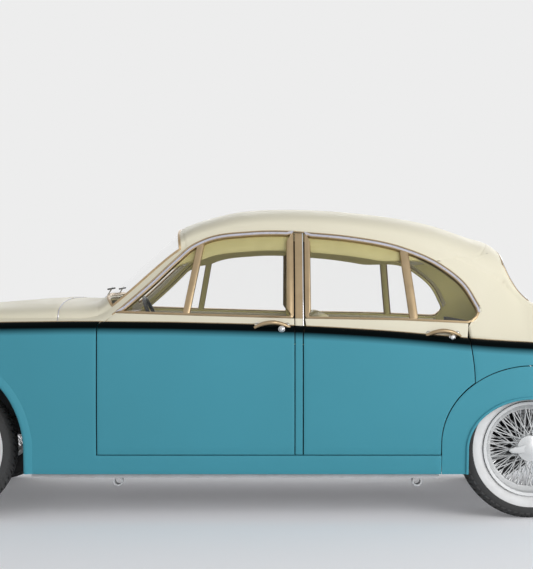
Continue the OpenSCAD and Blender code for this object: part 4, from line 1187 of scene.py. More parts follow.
@dataclass
class LowerBody:
    """The teal panels below the belt: wings, spats and sills."""

    skin_t: float = 4.0
    spat_t: float = 5.0
    sill_t: float = 30.0

    def front_wings(self) -> None:
        """Front wings with the wheel arch's rolled lip."""
        ahead = np.linspace(BODY_FRONT, FRONT_AXLE - FRONT_ARCH[1] - 1, 26)
        over = arch_xs(FRONT_AXLE, FRONT_ARCH, 0, 180, 61)
        xs = np.concatenate([ahead, over])
        s = side_rows(xs, arch_z(xs, FRONT_AXLE, FRONT_ARCH))
        x = np.broadcast_to(xs, s.shape)
        x0 = FRONT_AXLE + FRONT_ARCH[1] + 1
        row_s = side_rows(np.array([x0]), np.array([BODY.at(x0, Station.Z_SILL)]))
        row_s[:4] = float(BODY.s_of(x0, SILL_TOP)) * np.linspace(0, 1, 4)[:, None]
        f = np.linspace(0, 1, 18)
        behind = x0 + (lip_x(FRONT_HINGE, row_s, 2.0) - x0) * f
        bs = np.broadcast_to(row_s, behind.shape)
        x, s = np.concatenate([x, behind], 1), np.concatenate([s, bs], 1)
        seam = (FRONT_HINGE - 26) * MM
        obj = Sheet.on_skin(x, s, self.skin_t).build("front_wing_skins", BOTH, band=True,
                                                     plain=lambda p: p.x > seam and p.z < (SILL_TOP + 1) * MM)
        Modeller.place(obj, TEAL, ROOT, "teal_paint", ["front_wings"])
        self.lip("front_arch_flares", FRONT_AXLE, FRONT_ARCH, FLARE)

    def lip(self, name: str, centre: float, arch: Triple, profile: Sequence[Pair]) -> None:
        """A shaped lip round a wheel opening, with straight legs down to the sill.

        Args:
            name: Name of the piece.
            centre: The wheel's place.
            arch: The opening.
            profile: Section of the lip.
        """
        over = arch_xs(centre, arch, 0, 180, 100)
        top = arch_z(over, centre, arch)
        leg = np.linspace(0, 0.96, 8)
        ends = [BODY.at(centre + e * arch[1], Station.Z_SILL) + 1 for e in (-1, 1)]
        x = np.concatenate([np.full(8, over[0]), over, np.full(8, over[-1])])
        z = np.concatenate([ends[0] + (top[0] - ends[0]) * leg, top, ends[1] + (top[-1] - ends[1]) * leg[::-1]])
        obj = swept_piece(name, [(x, BODY.s_of(x, z))], profile, sides=BOTH)
        Modeller.place(obj, TEAL_PLAIN, ROOT, "teal_paint")

    def rear_wings(self) -> None:
        """Rear wings from the rear door to the tail, down to the spats."""
        x0 = REAR_AXLE - SPAT[1] * math.cos(math.radians(50.76))
        over = arch_xs(REAR_AXLE, SPAT, 50.76, 180, 50)
        xs = np.concatenate([over, np.linspace(REAR_AXLE + SPAT[1] + 2, BODY_REAR, 28)])
        s = side_rows(xs, arch_z(xs, REAR_AXLE, SPAT) + 2.6)
        shift = np.interp(np.concatenate([np.linspace(0, 1, LOW_ROWS), np.linspace(1, 2, SHOULDER_ROWS + 1)[1:]]),
                          REAR_EDGE_ROWS, REAR_EDGE) - REAR_EDGE[0]
        ease = np.clip(1 - (xs - x0) / 120, 0, 1) ** 2
        x = xs[None] + shift[:, None] * ease[None]
        obj = Sheet.on_skin(x, s, self.skin_t).build("rear_wing_skins", BOTH, band=True)
        Modeller.place(obj, TEAL, ROOT, "teal_paint", ["rear_wings"])

    def spats(self) -> None:
        """Panels over the rear wheels, each with a rolled lip round the hub opening."""
        a = np.radians(np.linspace(0, 44, 22))
        first = REAR_AXLE - SPAT[1] * np.cos(a)
        first = first[first < REAR_AXLE - SPAT_OPENING[1] - 1]
        xs = np.concatenate([first, arch_xs(REAR_AXLE, SPAT_OPENING, 0, 180, 61), (2 * REAR_AXLE - first)[::-1]])
        low, high = BODY.s_of(xs, arch_z(xs, REAR_AXLE, SPAT_OPENING)), BODY.s_of(xs, arch_z(xs, REAR_AXLE, SPAT) - 1.8)
        s = low + (high - low) * np.linspace(0, 1, 14)[:, None]
        obj = Sheet.on_skin(np.broadcast_to(xs, s.shape), s, self.spat_t).build("spat_skins", BOTH)
        Modeller.place(obj, TEAL_PLAIN, ROOT, "teal_paint", ["spats"])
        self.lip("spat_lips", REAR_AXLE, SPAT_OPENING, ROLLED_LIP)

    def sills(self) -> None:
        """Sills under the doors with a turned-under lower edge."""
        x0 = float(lip_x(FRONT_HINGE, np.array(0.0), 20.0))
        xs = np.linspace(x0, REAR_AXLE - SPAT[1] - 2, 60)
        s = BODY.s_of(xs, SILL_TOP) * np.linspace(0, 1, 4)[:, None]
        obj = Sheet.on_skin(np.broadcast_to(xs, s.shape), s, self.sill_t).build(
            "sill_skins", BOTH, plain=lambda p: p.x < (x0 + 1) * MM)
        Modeller.place(obj, TEAL_PLAIN, ROOT, "teal_paint", ["sills"])

    def build(self) -> None:
        """Builds all the panels below the belt that don't open."""
        self.front_wings()
        self.rear_wings()
        self.spats()
        self.sills()


def header_x(a: Points) -> Points:
    """Edge between the windscreen's frame and the roof."""
    return -412 + 32 * a**2


def roof_end_x(a: Points) -> Points:
    """Edge between the roof and the rear quarters."""
    return 1100 - 300 * a**2


def base_x(a: Points) -> Points:
    """Edge between the scuttle and the windscreen's frame."""
    return -800 + 62 * a**2


@dataclass
class UpperBody:
    """The cream panels above the belt that don't open, with the glass they hold."""

    skin_t: float = 20.0
    scuttle_t: float = 8.0
    lining: Pair = (6.0, 26.0)
    glass: Pair = (5.0, 4.0)
    screen_s: float = 1.99
    back_s: float = 2.3
    back_top: float = 1138.0
    back_foot: float = 1252.0

    def __post_init__(self) -> None:
        """Spreads the columns across the car."""
        self.cross = np.linspace(-1, 1, 49)

    def roof(self) -> None:
        """Roof panel."""
        f = np.concatenate([np.linspace(0, 0.15, 16), np.linspace(0.15, 1, 60)[1:]])
        c = self.cross[:, None] * np.ones_like(f)
        x, s = across(header_x(np.abs(c)) + (roof_end_x(np.abs(c)) - header_x(np.abs(c))) * f, c)
        obj = Sheet.on_skin(x, s, self.skin_t).build("roof_skin", edge=2.0)
        Modeller.place(obj, CREAM, ROOT, "cream_paint", ["roof"])
        lining = Sheet.on_skin(x[2:-2, 3:-3], s[2:-2, 3:-3], *self.lining).build("roof_lining", edge=0)
        Modeller.place(lining, LINING, ROOT)

    def scuttle(self) -> None:
        """Panel between the bonnet and the windscreen."""
        x0 = BONNET_REAR + 5
        lip = float(lip_x(FRONT_HINGE, np.array(1.0), 20.0))
        ends_x, ends_s = across(base_x(np.abs(self.cross)), self.cross)
        ends_x = np.concatenate([[lip], ends_x, [lip]])[:, None]
        ends_s = np.concatenate([[1.004], ends_s, [4.996]])[:, None]
        f = np.linspace(0, 1, 16)[None]
        x = x0 + (ends_x - x0) * f
        s = ends_s * np.ones_like(f)
        obj = Sheet.on_skin(x, s, self.scuttle_t, 4.0 * (1 - f) ** 3 * np.ones_like(ends_s)).build(
            "scuttle_skin", edge=2.0)
        Modeller.place(obj, CREAM, ROOT, "cream_paint", ["scuttle"])

    def screen_base(self, s: Points) -> Points:
        """Lower edge of the windscreen opening."""
        return np.interp(np.minimum(s, 6 - s), [self.screen_s, 2.5, 3], [-722, -762, -778])

    def screen_head(self, s: Points) -> Points:
        """Upper edge of the windscreen opening."""
        return np.interp(np.minimum(s, 6 - s), [self.screen_s, 2.4, 3], [-410, -421, -429])

    def screen_frame(self) -> None:
        """Pillars, header and foot round the windscreen, with its rubber and bright surround."""
        n, c = 30, self.cross
        up = np.linspace(self.screen_s, 6 - self.screen_s, len(c))
        f = np.linspace(0, 1, n)[1:-1]
        corner, head = -738.0, float(header_x(np.array(1.0)))
        sides = corner + (head - corner) * f
        base, top = float(self.screen_base(np.array(self.screen_s))), float(self.screen_head(np.array(self.screen_s)))
        inner_side = base + (top - base) * f
        one = np.ones_like(f)
        outer = [across(base_x(np.abs(c)), c), across(sides, one), across(header_x(np.abs(c[::-1])), c[::-1]),
                 across(sides[::-1], -one)]
        inner = [(self.screen_base(up), up), (inner_side, (6 - self.screen_s) * one),
                 (self.screen_head(up[::-1]), up[::-1]), (inner_side[::-1], self.screen_s * one)]
        ox, os_ = (np.concatenate([q[k] for q in outer]) for k in (0, 1))
        ix, is_ = (np.concatenate([q[k] for q in inner]) for k in (0, 1))
        t = np.linspace(0, 1, 12)[:, None]
        obj = Sheet.on_skin(ix + (ox - ix) * t, is_ + (os_ - is_) * t, self.skin_t, ring=True).build(
            "screen_frame_skin", edge=2.0)
        Modeller.place(obj, CREAM, ROOT, "cream_paint", ["screen_frame"])
        Modeller.outward(obj)
        t = np.linspace(0.5, 0.97, 8)[:, None]
        lining = Sheet.on_skin(ix + (ox - ix) * t, is_ + (os_ - is_) * t, 4.0, self.skin_t + 1, ring=True).build(
            "screen_pillar_lining", edge=0)
        Modeller.outward(lining)
        Modeller.place(lining, TRIM_PAINT, ROOT)
        seal = swept_piece("screen_rubber", [(ix, is_)], SCREEN_RUBBER, True)
        Modeller.place(seal, CHROME_BROWN_REFLECTION, ROOT)
        trim = swept_piece("screen_bright_surround", [(ix, is_)], ((-5, 2.5), (-4, 4.2), (-1, 4), (0, 3)), True)
        Modeller.place(trim, CHROME_BROWN_REFLECTION, ROOT, "brightwork")

    def windscreen(self) -> None:
        """Curved windscreen."""
        s = np.linspace(self.screen_s + 0.01, 6 - self.screen_s - 0.01, 41)[:, None]
        f = np.linspace(0, 1, 16)[None]
        x = self.screen_base(s) + 1.2 + (self.screen_head(s) - 2.2 - self.screen_base(s) - 1.2) * f
        obj = Sheet.on_skin(x, s * np.ones_like(f), *self.glass).build("windscreen_pane", edge=0)
        Modeller.place(obj, GLASS, ROOT, "window_glass", ["windscreen"])

    def rear_quarters(self) -> None:
        """Rear quarters and the panel round the rear window."""
        c, x1 = self.cross, BOOT_FRONT - LID_GAP
        up = np.linspace(self.back_s, 6 - self.back_s, len(c))
        foot = np.linspace(1.004, 4.996, len(c))
        top = APERTURE[APERTURE[:, 0] > 952][::-1]
        bend = smooth_line([(945, 872), (943, 898), (954, 910), (970, 914), (992, 933), (1006, 958),
                            *map(tuple, top)], 34)
        run = np.linspace(950, 812, 16)
        line = np.stack([run, np.interp(run, APERTURE[:, 0], APERTURE[:, 1])], 1)
        low = np.linspace(x1 - 20, 949, 34)
        sx = np.concatenate([low, bend[:, 0], line[:, 0]])
        ss = np.concatenate([np.full(len(low), 1.004), on_side(bend)[1], on_side(line)[1]])
        n = len(sx)
        f = np.arange(1, n + 1) / (n + 1)
        inner_side = self.back_top + (self.back_foot - self.back_top) * f
        rx, rs = across(roof_end_x(np.abs(c)), c)
        ox = np.concatenate([rx, sx[::-1], np.full(len(c), x1), sx])
        os_ = np.concatenate([rs, 6 - ss[::-1], foot[::-1], ss])
        ix = np.concatenate([np.full(len(c), self.back_top), inner_side, np.full(len(c), self.back_foot),
                             inner_side[::-1]])
        is_ = np.concatenate([up, np.full(n, 6 - self.back_s), up[::-1], np.full(n, self.back_s)])
        t = np.linspace(0, 1, 26)[:, None]
        x, s = ix + (ox - ix) * t, is_ + (os_ - is_) * t
        obj = Sheet.on_skin(x, s, self.skin_t, ring=True).build("rear_quarter_skins", edge=2.0)
        Modeller.place(obj, CREAM, ROOT, "cream_paint", ["rear_quarters"])
        Modeller.outward(obj)
        t = np.linspace(0.04, 0.93, 20)[:, None]
        lining = Sheet.on_skin(ix + (ox - ix) * t, is_ + (os_ - is_) * t, 4.0, self.skin_t + 2, ring=True).build(
            "rear_quarter_lining", edge=0)
        Modeller.outward(lining)
        Modeller.place(lining, LINING, ROOT)
        seal = swept_piece("rear_window_rubber", [(ix, is_)], REAR_RUBBER, True)
        Modeller.place(seal, CHROME_BROWN_REFLECTION, ROOT)
        trim = swept_piece("rear_window_bright_surround", [(ix, is_)], ((-7, 2.5), (-5, 5.5), (-1, 5), (1, 3)), True)
        Modeller.place(trim, CHROME, ROOT, "brightwork")

    def rear_window(self) -> None:
        """Curved rear window."""
        s = np.linspace(self.back_s + 0.006, 6 - self.back_s - 0.006, 41)[:, None]
        f = np.linspace(0, 1, 16)[None]
        x = self.back_top + 0.7 + (self.back_foot - self.back_top - 1.4) * f
        sheet = Sheet.on_skin(x * np.ones_like(s), s * np.ones_like(f), *self.glass)
        obj = sheet.build("rear_window_pane", edge=0)
        Modeller.place(obj, GLASS, ROOT, "window_glass", ["rear_window"])

    def drip_rails(self) -> None:
        """Bright gutters over the side windows."""
        line = moved_line(smooth_line([tuple(p) for p in APERTURE], 200), 1.5)
        keep = line[(line[:, 0] > -728) & (line[:, 1] > 950)]
        obj = swept_piece("drip_rails", [on_side(keep)], HALF_ROUND, sides=BOTH)
        Modeller.place(obj, CHROME_BROWN_REFLECTION, ROOT, "brightwork")

    def flanges(self) -> None:
        """Black sheets inside the doors' shut lines: the seals are real black rubber, and the flanges are black as
        painted shade so the gaps read dark.
        """
        zones = (("post_flanges", SEAL, 102.0, 204.0, 0.06, 1.04, 80.0),
                 ("post_seals", SEAL, 116.0, 188.0, 1.04, 1.9, 51.0),
                 ("post_trims", TRIM_PAINT, 112.0, 192.0, 0.9, 1.92, 85.0),
                 ("hinge_post_flanges", SEAL, -802.0, -779.0, 0.06, 0.9, 80.0),
                 ("latch_post_flanges", SEAL, 926.0, 988.0, 0.42, 0.97, 51.0))
        # The black flanges are painted shade in the gaps; only the seals are really black.
        for name, finish, x0, x1, low, high, depth in zones:
            x, s = np.meshgrid(np.linspace(x0, x1, 8), np.linspace(low, high, 40))
            obj = Sheet.on_skin(x, s, 4.0, depth).build(name, BOTH, edge=0)
            Modeller.place(obj, finish, ROOT)

    def posts(self) -> None:
        """Outer strips between the doors, in the colours of the panels beside them."""
        x0 = FRONT_DOOR_END + 4.5
        zones = (("post_strips_lower", TEAL, "teal_paint", float(BODY.s_of(REAR_HINGE, SILL_TOP)) + 0.004, 1.0),
                 ("post_strips_belt", CREAM, "cream_paint", 1.0, float(sill_s(150.0))),
                 ("post_strips_upper", CHROME_BROWN_REFLECTION, "brightwork", float(sill_s(150.0)), float(aperture_s(150.0)) - 0.01))
        for name, finish, slot, low, high in zones:
            s = np.linspace(low, high, 24)[:, None]
            rear = lip_x(REAR_HINGE, s, 0.0) if high <= 1.0 else np.full_like(s, 173.5)
            x = x0 + (rear - x0) * np.linspace(0, 1, 5)[None]
            obj = Sheet.on_skin(x, s * np.ones_like(x), 8.0).build(name, BOTH, band=finish is TEAL)
            Modeller.place(obj, finish, ROOT, slot, ["door_posts"] if finish is TEAL else [])
        s = np.linspace(1.0, float(aperture_s(150.0)) - 0.01, 30)
        edge = swept_piece("post_bright_edges", [(np.full_like(s, 170.5), s)],
                           ((-2.6, -3), (-2.6, 0.6), (-1.4, 2), (1.4, 2), (2.6, 0.6), (2.6, -3)), sides=BOTH)
        Modeller.place(edge, CHROME, ROOT, "brightwork")

    def build(self) -> None:
        """Builds all the panels above the belt that don't open."""
        self.roof()
        self.scuttle()
        self.screen_frame()
        self.windscreen()
        self.rear_quarters()
        self.rear_window()
        self.drip_rails()
        self.posts()
        self.flanges()


CROWN_S = np.linspace(1.2, 4.8, 61)


@dataclass
class Lids:
    """Bonnet and boot lid with their hinge arms."""

    skin_t: float = 7.0

    def lid(self, name: str, xs: Points, body: str, node: str) -> None:
        """One lid from its columns.

        Args:
            name: Name of the piece.
            xs: Places of its columns.
            body: The body it moves with.
            node: The CAD node it stands for.
        """
        s = CROWN_S[:, None] * np.ones_like(xs)
        obj = Sheet.on_skin(np.broadcast_to(xs, s.shape), s, self.skin_t).build(name, edge=2.0)
        Modeller.place(obj, CREAM, body, "cream_paint", [node])

    def arms(self, name: str, body: str, x: float, z: float, e: int, first: float) -> None:
        """Two bent hinge arms from the pivot up to the lid; e is 1 at the bonnet and -1 at the boot.

        Args:
            name: Name of the piece.
            body: The body it moves with.
            x: The pivot's X.
            z: The pivot's height.
            e: The end.
            first: Angle at which the arms start.
        """
        parts = []
        for y in (-LID_ARM_Y, LID_ARM_Y):
            a = np.radians(np.concatenate([np.linspace(180 + first, 258, 22), [256]]))
            r = np.concatenate([np.full(22, 94.0), [14.0]])
            line = np.column_stack([x + e * r * np.cos(a), np.full(23, y), z + r * np.sin(a)])
            parts.append(Modeller.tube("arm", line, 6.0, 3))
            parts.append(Modeller.lathe("eye", [(8.5, -8), (13, -8), (13, 8), (8.5, 8)], 32, (x, y, z), (0, 1, 0)))
        Modeller.piece(name, parts, UNDERSEAL, body)

    def build(self) -> None:
        """Builds both lids."""
        self.arms("bonnet_hinge_arms", "bonnet_body", -895.0, 980.0, 1, -25.0)
        self.arms("boot_hinge_arms", "boot_body", 1329.0, 940.0, -1, -13.5)
        self.lid("bonnet_skin", np.concatenate([np.linspace(BODY_FRONT + 12, -1900, 30),
                                                np.linspace(-1900, BONNET_REAR, 50)[1:]]), "bonnet_body", "bonnet")
        self.lid("boot_skin", np.linspace(BOOT_FRONT, BODY_REAR - 12, 60), "boot_body", "boot_lid")


@dataclass
class DoorSpec:
    """What differs between the front and the rear doors."""

    word: str
    hinge: float
    lean: float
    top: Points
    foot: Points
    bar: Triple
    stile: float
    handle: Triple
    header: tuple[float, float, float, float]


def sill_point(x: float) -> Pair:
    """A point of the window sill line."""
    return (x, float(np.interp(x, WINDOW_SILL[:, 0], WINDOW_SILL[:, 1])) + 0.3)


def window_part(low: float, high: float) -> list[Pair]:
    """Points of the window line between two places of X, over the sill."""
    return [tuple(q) for q in WINDOW_LINE if low < q[0] < high and q[1] > sill_point(q[0])[1] + 14]


FRONT_DOOR = DoorSpec(
    "front", FRONT_HINGE, 20.0,
    np.array([sill_point(-706), *window_part(-700, 112), (128, 1347)]),
    np.array([sill_point(x) for x in (128, -100, -311, -500)]), (-373, -312, 33), 34.0, (-55, 110, 905),
    (-470.0, 112.0, -300.0, 100.0))
REAR_DOOR = DoorSpec(
    "rear", REAR_HINGE, 0.0,
    np.array([(179, 1342.5), *window_part(196, 1100), (1001, 961), (987, 936), (964, 918)]),
    np.array([sill_point(x) for x in (938, 790, 625, 400, 179)]), (687, 652, 40), 28.0, (741, 900, 866),
    (190.0, 800.0, 200.0, 520.0))
FRAME_PROFILE: Profile = ((0, 14), (0, 1), (0.6, -1.2), (3, -1.8), (5, -2.6), (7, -4), (9.5, -4.4), (12, -3.4),
                                   (13.3, -1), (14, 3), (14, 14))
BAND_PROFILE: Profile = ((-2, 6), (-2, -2), (-0.5, -5), (2.5, -6.2), (6, -6), (9, -5.2), (10, -3), (10, 2))
GARNISH_PROFILE: Profile = ((2, 17), (14, 13), (50, 15), (70, 19), (75, 25), (70, 30), (2, 30))
GARNISH_EDGE = 0.1
HANDLE_BUTTON: Profile = ((0, -8), (14, -8), (15.5, 1), (15, 5), (12, 7), (11, 12), (8, 15), (0, 16))


@dataclass
class Door:
    """One door: panel, capping, window frame, glass, garnish and handle."""

    spec: DoorSpec
    side: Side
    shell_t: float = 46.0
    capping_t: float = 42.0
    corner: float = 34.0
    glass_t: float = 5.0
    glass_depth: float = 8.0

    def __post_init__(self) -> None:
        """Names the door's body and its pieces."""
        self.body = f"{self.spec.word}_door_body_{self.side.word}"
        self.tag = f"{self.spec.word}_{{}}_{self.side.word}".format

    def columns(self) -> tuple[Points, Points, Points]:
        """Shares of the columns, feet of the columns and the rear edge's place by row.

        Returns:
            The shares, the feet and the rear edge.
        """
        if self.spec.word == "front":
            f = np.linspace(0, 1, 60)
            return f, np.full(60, DOOR_FOOT), np.full(LOW_ROWS + SHOULDER_ROWS + 8, FRONT_DOOR_END)
        x0 = REAR_HINGE - 20
        over = arch_xs(REAR_AXLE, SPAT, 0, 50.5, 30, 4.5)
        low = np.linspace(x0, over[0] - 1, 40)
        xs = np.concatenate([low, over])
        feet = np.concatenate([np.full(40, DOOR_FOOT), arch_z(over, REAR_AXLE, SPAT, 4.5)])
        rows = np.concatenate([np.linspace(0, 1, LOW_ROWS), np.linspace(1, 2, SHOULDER_ROWS + 1)[1:],
                               np.linspace(2, 3, 9)[1:]])
        return (xs - x0) / (over[-1] - x0), feet, over[-1] + np.interp(rows, REAR_EDGE_ROWS, REAR_EDGE) - REAR_EDGE[0]

    def panel(self) -> None:
        """The door's shell below the belt and its capping up to the window sill."""
        f, feet, rear = self.columns()
        spec = self.spec
        base = side_rows(np.array([spec.hinge]), feet[:1])[:, 0]
        front = np.concatenate([lip_x(spec.hinge, base, spec.lean) + 5.5,
                                np.linspace(spec.hinge + spec.lean, spec.hinge + 2.4 * spec.lean, 9)[1:]])
        if spec.word == "rear":
            front[-9:] = np.linspace(front[-9], 179.0, 9)
        x = front[:, None] + (rear - front)[:, None] * f[None]
        n = LOW_ROWS + SHOULDER_ROWS
        s = np.empty_like(x)
        for k in range(LOW_ROWS):
            low = BODY.s_of(x[k], feet)
            s[k] = low + (2 / 3 - low) * k / (LOW_ROWS - 1)
        s[LOW_ROWS:n] = np.linspace(2 / 3, 1, SHOULDER_ROWS + 1)[1:, None]
        s[n:] = 1 + (sill_s(x[n:]) - 1) * np.linspace(0, 1, 9)[1:, None]
        panel = Sheet.on_skin(x[:n], s[:n], self.shell_t).build(self.tag("door_panel"), (self.side,), band=True)
        Modeller.place(panel, TEAL, self.body, "teal_paint", [self.tag("door")])
        capping = Sheet.on_skin(x[n - 1:], s[n - 1:], self.capping_t).build(self.tag("door_capping"), (self.side,))
        Modeller.place(capping, CREAM, self.body, "cream_paint")
        strip = swept_piece(self.tag("belt_strip"), [(x[n - 1], s[n - 1])], HALF_ROUND, sides=(self.side,))
        Modeller.place(strip, CHROME_BROWN_REFLECTION, self.body, "brightwork")

    def loop(self, inset: float) -> Points:
        """The window's outline moved inwards, as [x, z] points."""
        return rounded_loop(moved_loop(np.concatenate([self.spec.top, self.spec.foot]), inset), self.corner)

    def outward(self) -> Points:
        """Outward directions along the window's outline in side view.

        Returns:
            A direction for each point.
        """
        q = self.loop(0.0)
        step = np.roll(q, -1, 0) - np.roll(q, 1, 0)
        step /= np.linalg.norm(step, axis=1, keepdims=True)
        return np.stack([-step[:, 1], step[:, 0]], 1)

    def ring(self, name: str, profile: Sequence[Pair], finish: Finish, slot: str, nodes: Sequence[str],
             share: Points | float = 1.0, keep: Points | None = None) -> None:
        """A frame round the window.

        Args:
            name: Name of the piece.
            profile: Closed section as pairs of inset and depth.
            finish: Its finish.
            slot: The record's material slot, if any.
            nodes: CAD nodes that it stands for.
            share: Share of the inset at each point of the outline.
            keep: Points of the outline that the frame runs along, or all.
        """
        base = self.loop(0.0)
        rows = []
        for inset, depth in profile:
            q = base + (self.loop(inset) - base) * np.reshape(share, (-1, 1))
            x, s = on_side(q if keep is None else q[keep])
            rows.append(BODY.under(x, s, np.full(x.shape, depth)))
        self.loft(name, rows, finish, slot, nodes, keep is None)

    def loft(self, name: str, rows: Sequence[Points], finish: Finish, slot: str = "", nodes: Sequence[str] = (),
             closed: bool = False) -> None:
        """A bar on the door's own side.

        Args:
            name: Name of the piece.
            rows: Points along the bar, a row for each corner of its section.
            finish: Its finish.
            slot: The record's material slot, if any.
            nodes: CAD nodes that it stands for.
            closed: Whether the bar closes on itself.
        """
        grid = np.array(rows)
        k, n = grid.shape[:2]
        faces = quads(k, n, True, closed)
        if not closed:
            faces += [tuple(i * n for i in range(k)), tuple(i * n + n - 1 for i in range(k))]
        obj = Modeller.mesh(name, grid.reshape(-1, 3) * np.array([1, -self.side.value, 1]), faces)
        Modeller.outward(obj)
        Modeller.piece(name, [obj], finish, self.body, slot, nodes)

    def frames(self) -> None:
        """Chrome frame tinted brown as a painted reflection, a pale band over it as a painted highlight, and the
        garnish inside.
        """
        n = self.outward()
        stile = n[:, 0] if self.spec.word == "front" else -n[:, 0]
        wide = 1 + (self.spec.stile / FRAME_W - 1) * np.clip((stile - 0.8) / 0.18, 0, 1)
        wide -= 0.25 * np.clip((-n[:, 1] - 0.8) / 0.18, 0, 1)
        self.ring(self.tag("window_frame"), FRAME_PROFILE, CHROME_BROWN_REFLECTION, "brightwork", [self.tag("trim")], wide)
        over = np.nonzero((n[:, 1] > 0.3) | ((stile < -0.3) & (n[:, 1] > -0.2)))[0]
        start = int(np.argmax(np.diff(np.concatenate([[over[-1] - len(n)], over]))))
        self.ring(self.tag("window_band"), BAND_PROFILE, CHROME_PAINTED_HIGHLIGHT, "brightwork", [], keep=np.roll(over, -start))
        self.ring(self.tag("window_garnish"), GARNISH_PROFILE, TRIM_PAINT, "", [], GARNISH_EDGE)
        self.header()

    def header(self) -> None:
        """Deep garnish inside along the top of the window."""
        low, high, full, fade = self.spec.header
        x = np.linspace(low, high, 70)
        t = np.minimum(np.clip((x - low) / (full - low), 0, 1), np.clip((high - x) / (high - fade), 0, 1))
        ease = t * t * (3 - 2 * t)
        if self.spec.word == "front":
            ease = np.where(x > 0, 1.0, ease)
        share = GARNISH_EDGE + (1 - GARNISH_EDGE) * ease
        top = np.interp(x, self.spec.top[:, 0], self.spec.top[:, 1])
        rows = [BODY.under(*on_side(np.stack([x, top - inset * share], 1)), np.full(x.shape, depth))
                for inset, depth in GARNISH_PROFILE]
        self.loft(self.tag("window_header"), rows, TRIM_PAINT)

    def glass(self) -> None:
        """The pane within the frame."""
        loop = self.loop(FRAME_W - 3)
        xs = np.linspace(loop[:, 0].min() + 2, loop[:, 0].max() - 2, 60)
        nxt = np.roll(loop, -1, 0)
        z = np.empty((2, len(xs)))
        for i, x in enumerate(xs):
            hit = (loop[:, 0] - x) * (nxt[:, 0] - x) <= 0
            p, q = loop[hit], nxt[hit]
            cut = p[:, 1] + (q[:, 1] - p[:, 1]) * (x - p[:, 0]) / np.where(q[:, 0] == p[:, 0], 1, q[:, 0] - p[:, 0])
            z[:, i] = cut.min(), cut.max()
        rows = z[0] + (z[1] - z[0]) * np.linspace(0, 1, 14)[:, None]
        x = np.broadcast_to(xs, rows.shape)
        sheet = Sheet.on_skin(x, BODY.s_of(x, rows), self.glass_t, self.glass_depth)
        obj = sheet.build(self.tag("pane"), (self.side,), edge=0)
        Modeller.place(obj, GLASS, self.body, "window_glass", [self.tag("glass")])

    def bar(self) -> None:
        """The upright between the main pane and the quarter-light."""
        x0, x1, w = self.spec.bar
        corners = moved_loop(np.concatenate([self.spec.top, self.spec.foot]), FRAME_W - 5)
        top = corners[:len(self.spec.top)]
        z0, z1 = sill_point(x0)[1] + FRAME_W - 6, float(np.interp(x1, top[:, 0], top[:, 1]))
        t = np.linspace(0, 1, 12)
        x, z = x0 + (x1 - x0) * t, z0 + (z1 - z0) * t
        half = w / 2
        profile = ((-half, -14), (-half, 0), (-half + 3, 3), (0, 4.5), (half - 3, 3), (half, 0), (half, -14))
        line = [(x, BODY.s_of(x, z))]
        obj = swept_piece(self.tag("glazing_bar"), line, profile, sides=(self.side,))
        Modeller.place(obj, CHROME_BROWN_REFLECTION, self.body, "brightwork")
        half = 13.0
        cover = ((-half, -24), (-half, -14.2), (half, -14.2), (half, -24), (half - 4, -27), (4 - half, -27))
        obj = swept_piece(self.tag("glazing_bar_cover"), line, cover, sides=(self.side,))
        Modeller.place(obj, TRIM_PAINT, self.body)

    def card(self) -> None:
        """Trimmed card inside the door with an arm rest and two small handles."""
        spec = self.spec
        low, high = (-690.0, 95.0) if spec.word == "front" else (215.0, 800.0)
        z0 = DOOR_FOOT + 40 if spec.word == "front" else 420.0
        x = np.linspace(low, high, 46)[None] * np.ones((30, 1))
        z = np.linspace(z0, 900.0, 30)[:, None] * np.ones((1, 46))
        flutes = 2.5 * np.abs(np.sin((z - z0) / 62 * math.pi)) * ((z > z0 + 124) & (z < z0 + 372))
        card = Sheet.on_skin(x, BODY.s_of(x, z), 4.0 + flutes, self.shell_t + 0.4).build(
            self.tag("door_card"), (self.side,), edge=1.0)
        Modeller.place(card, HIDE, self.body, "seat_hide")
        mid = (low + high) / 2
        y = BODY.half_width(mid, 650.0, 52.0)
        e = self.side.value
        lo, hi = sorted((e * (y + 4), e * (y - 40)))
        rest = Modeller.block(self.tag("arm_rest"), (mid - 60, lo, 636), (mid + 190, hi, 684), 16.0, 4)
        Modeller.smooth(rest, 40)
        Modeller.place(rest, HIDE, self.body, "seat_hide")
        parts = []
        for px, pz, reach in ((mid - 170, 640.0, 70.0), (mid + 210, 790.0, -80.0)):
            w = BODY.half_width(px, pz, 50.0)
            parts.append(Modeller.lathe("boss", [(0, 22), (10, 20), (14, 14), (16, 0), (18, -4), (0, -4)], 24,
                                        (px, e * w, pz), (0, -e, 0), False))
            line = np.array([(px + reach * f, e * (w - 16 - out), pz - drop)
                             for f, out, drop in ((0, 0, 0), (0.6, 4, 8), (1, 8, 12))])
            parts.append(Modeller.tube("crank", line, 5.0, 3))
        Modeller.piece(self.tag("inner_handles"), parts, CHROME, self.body)

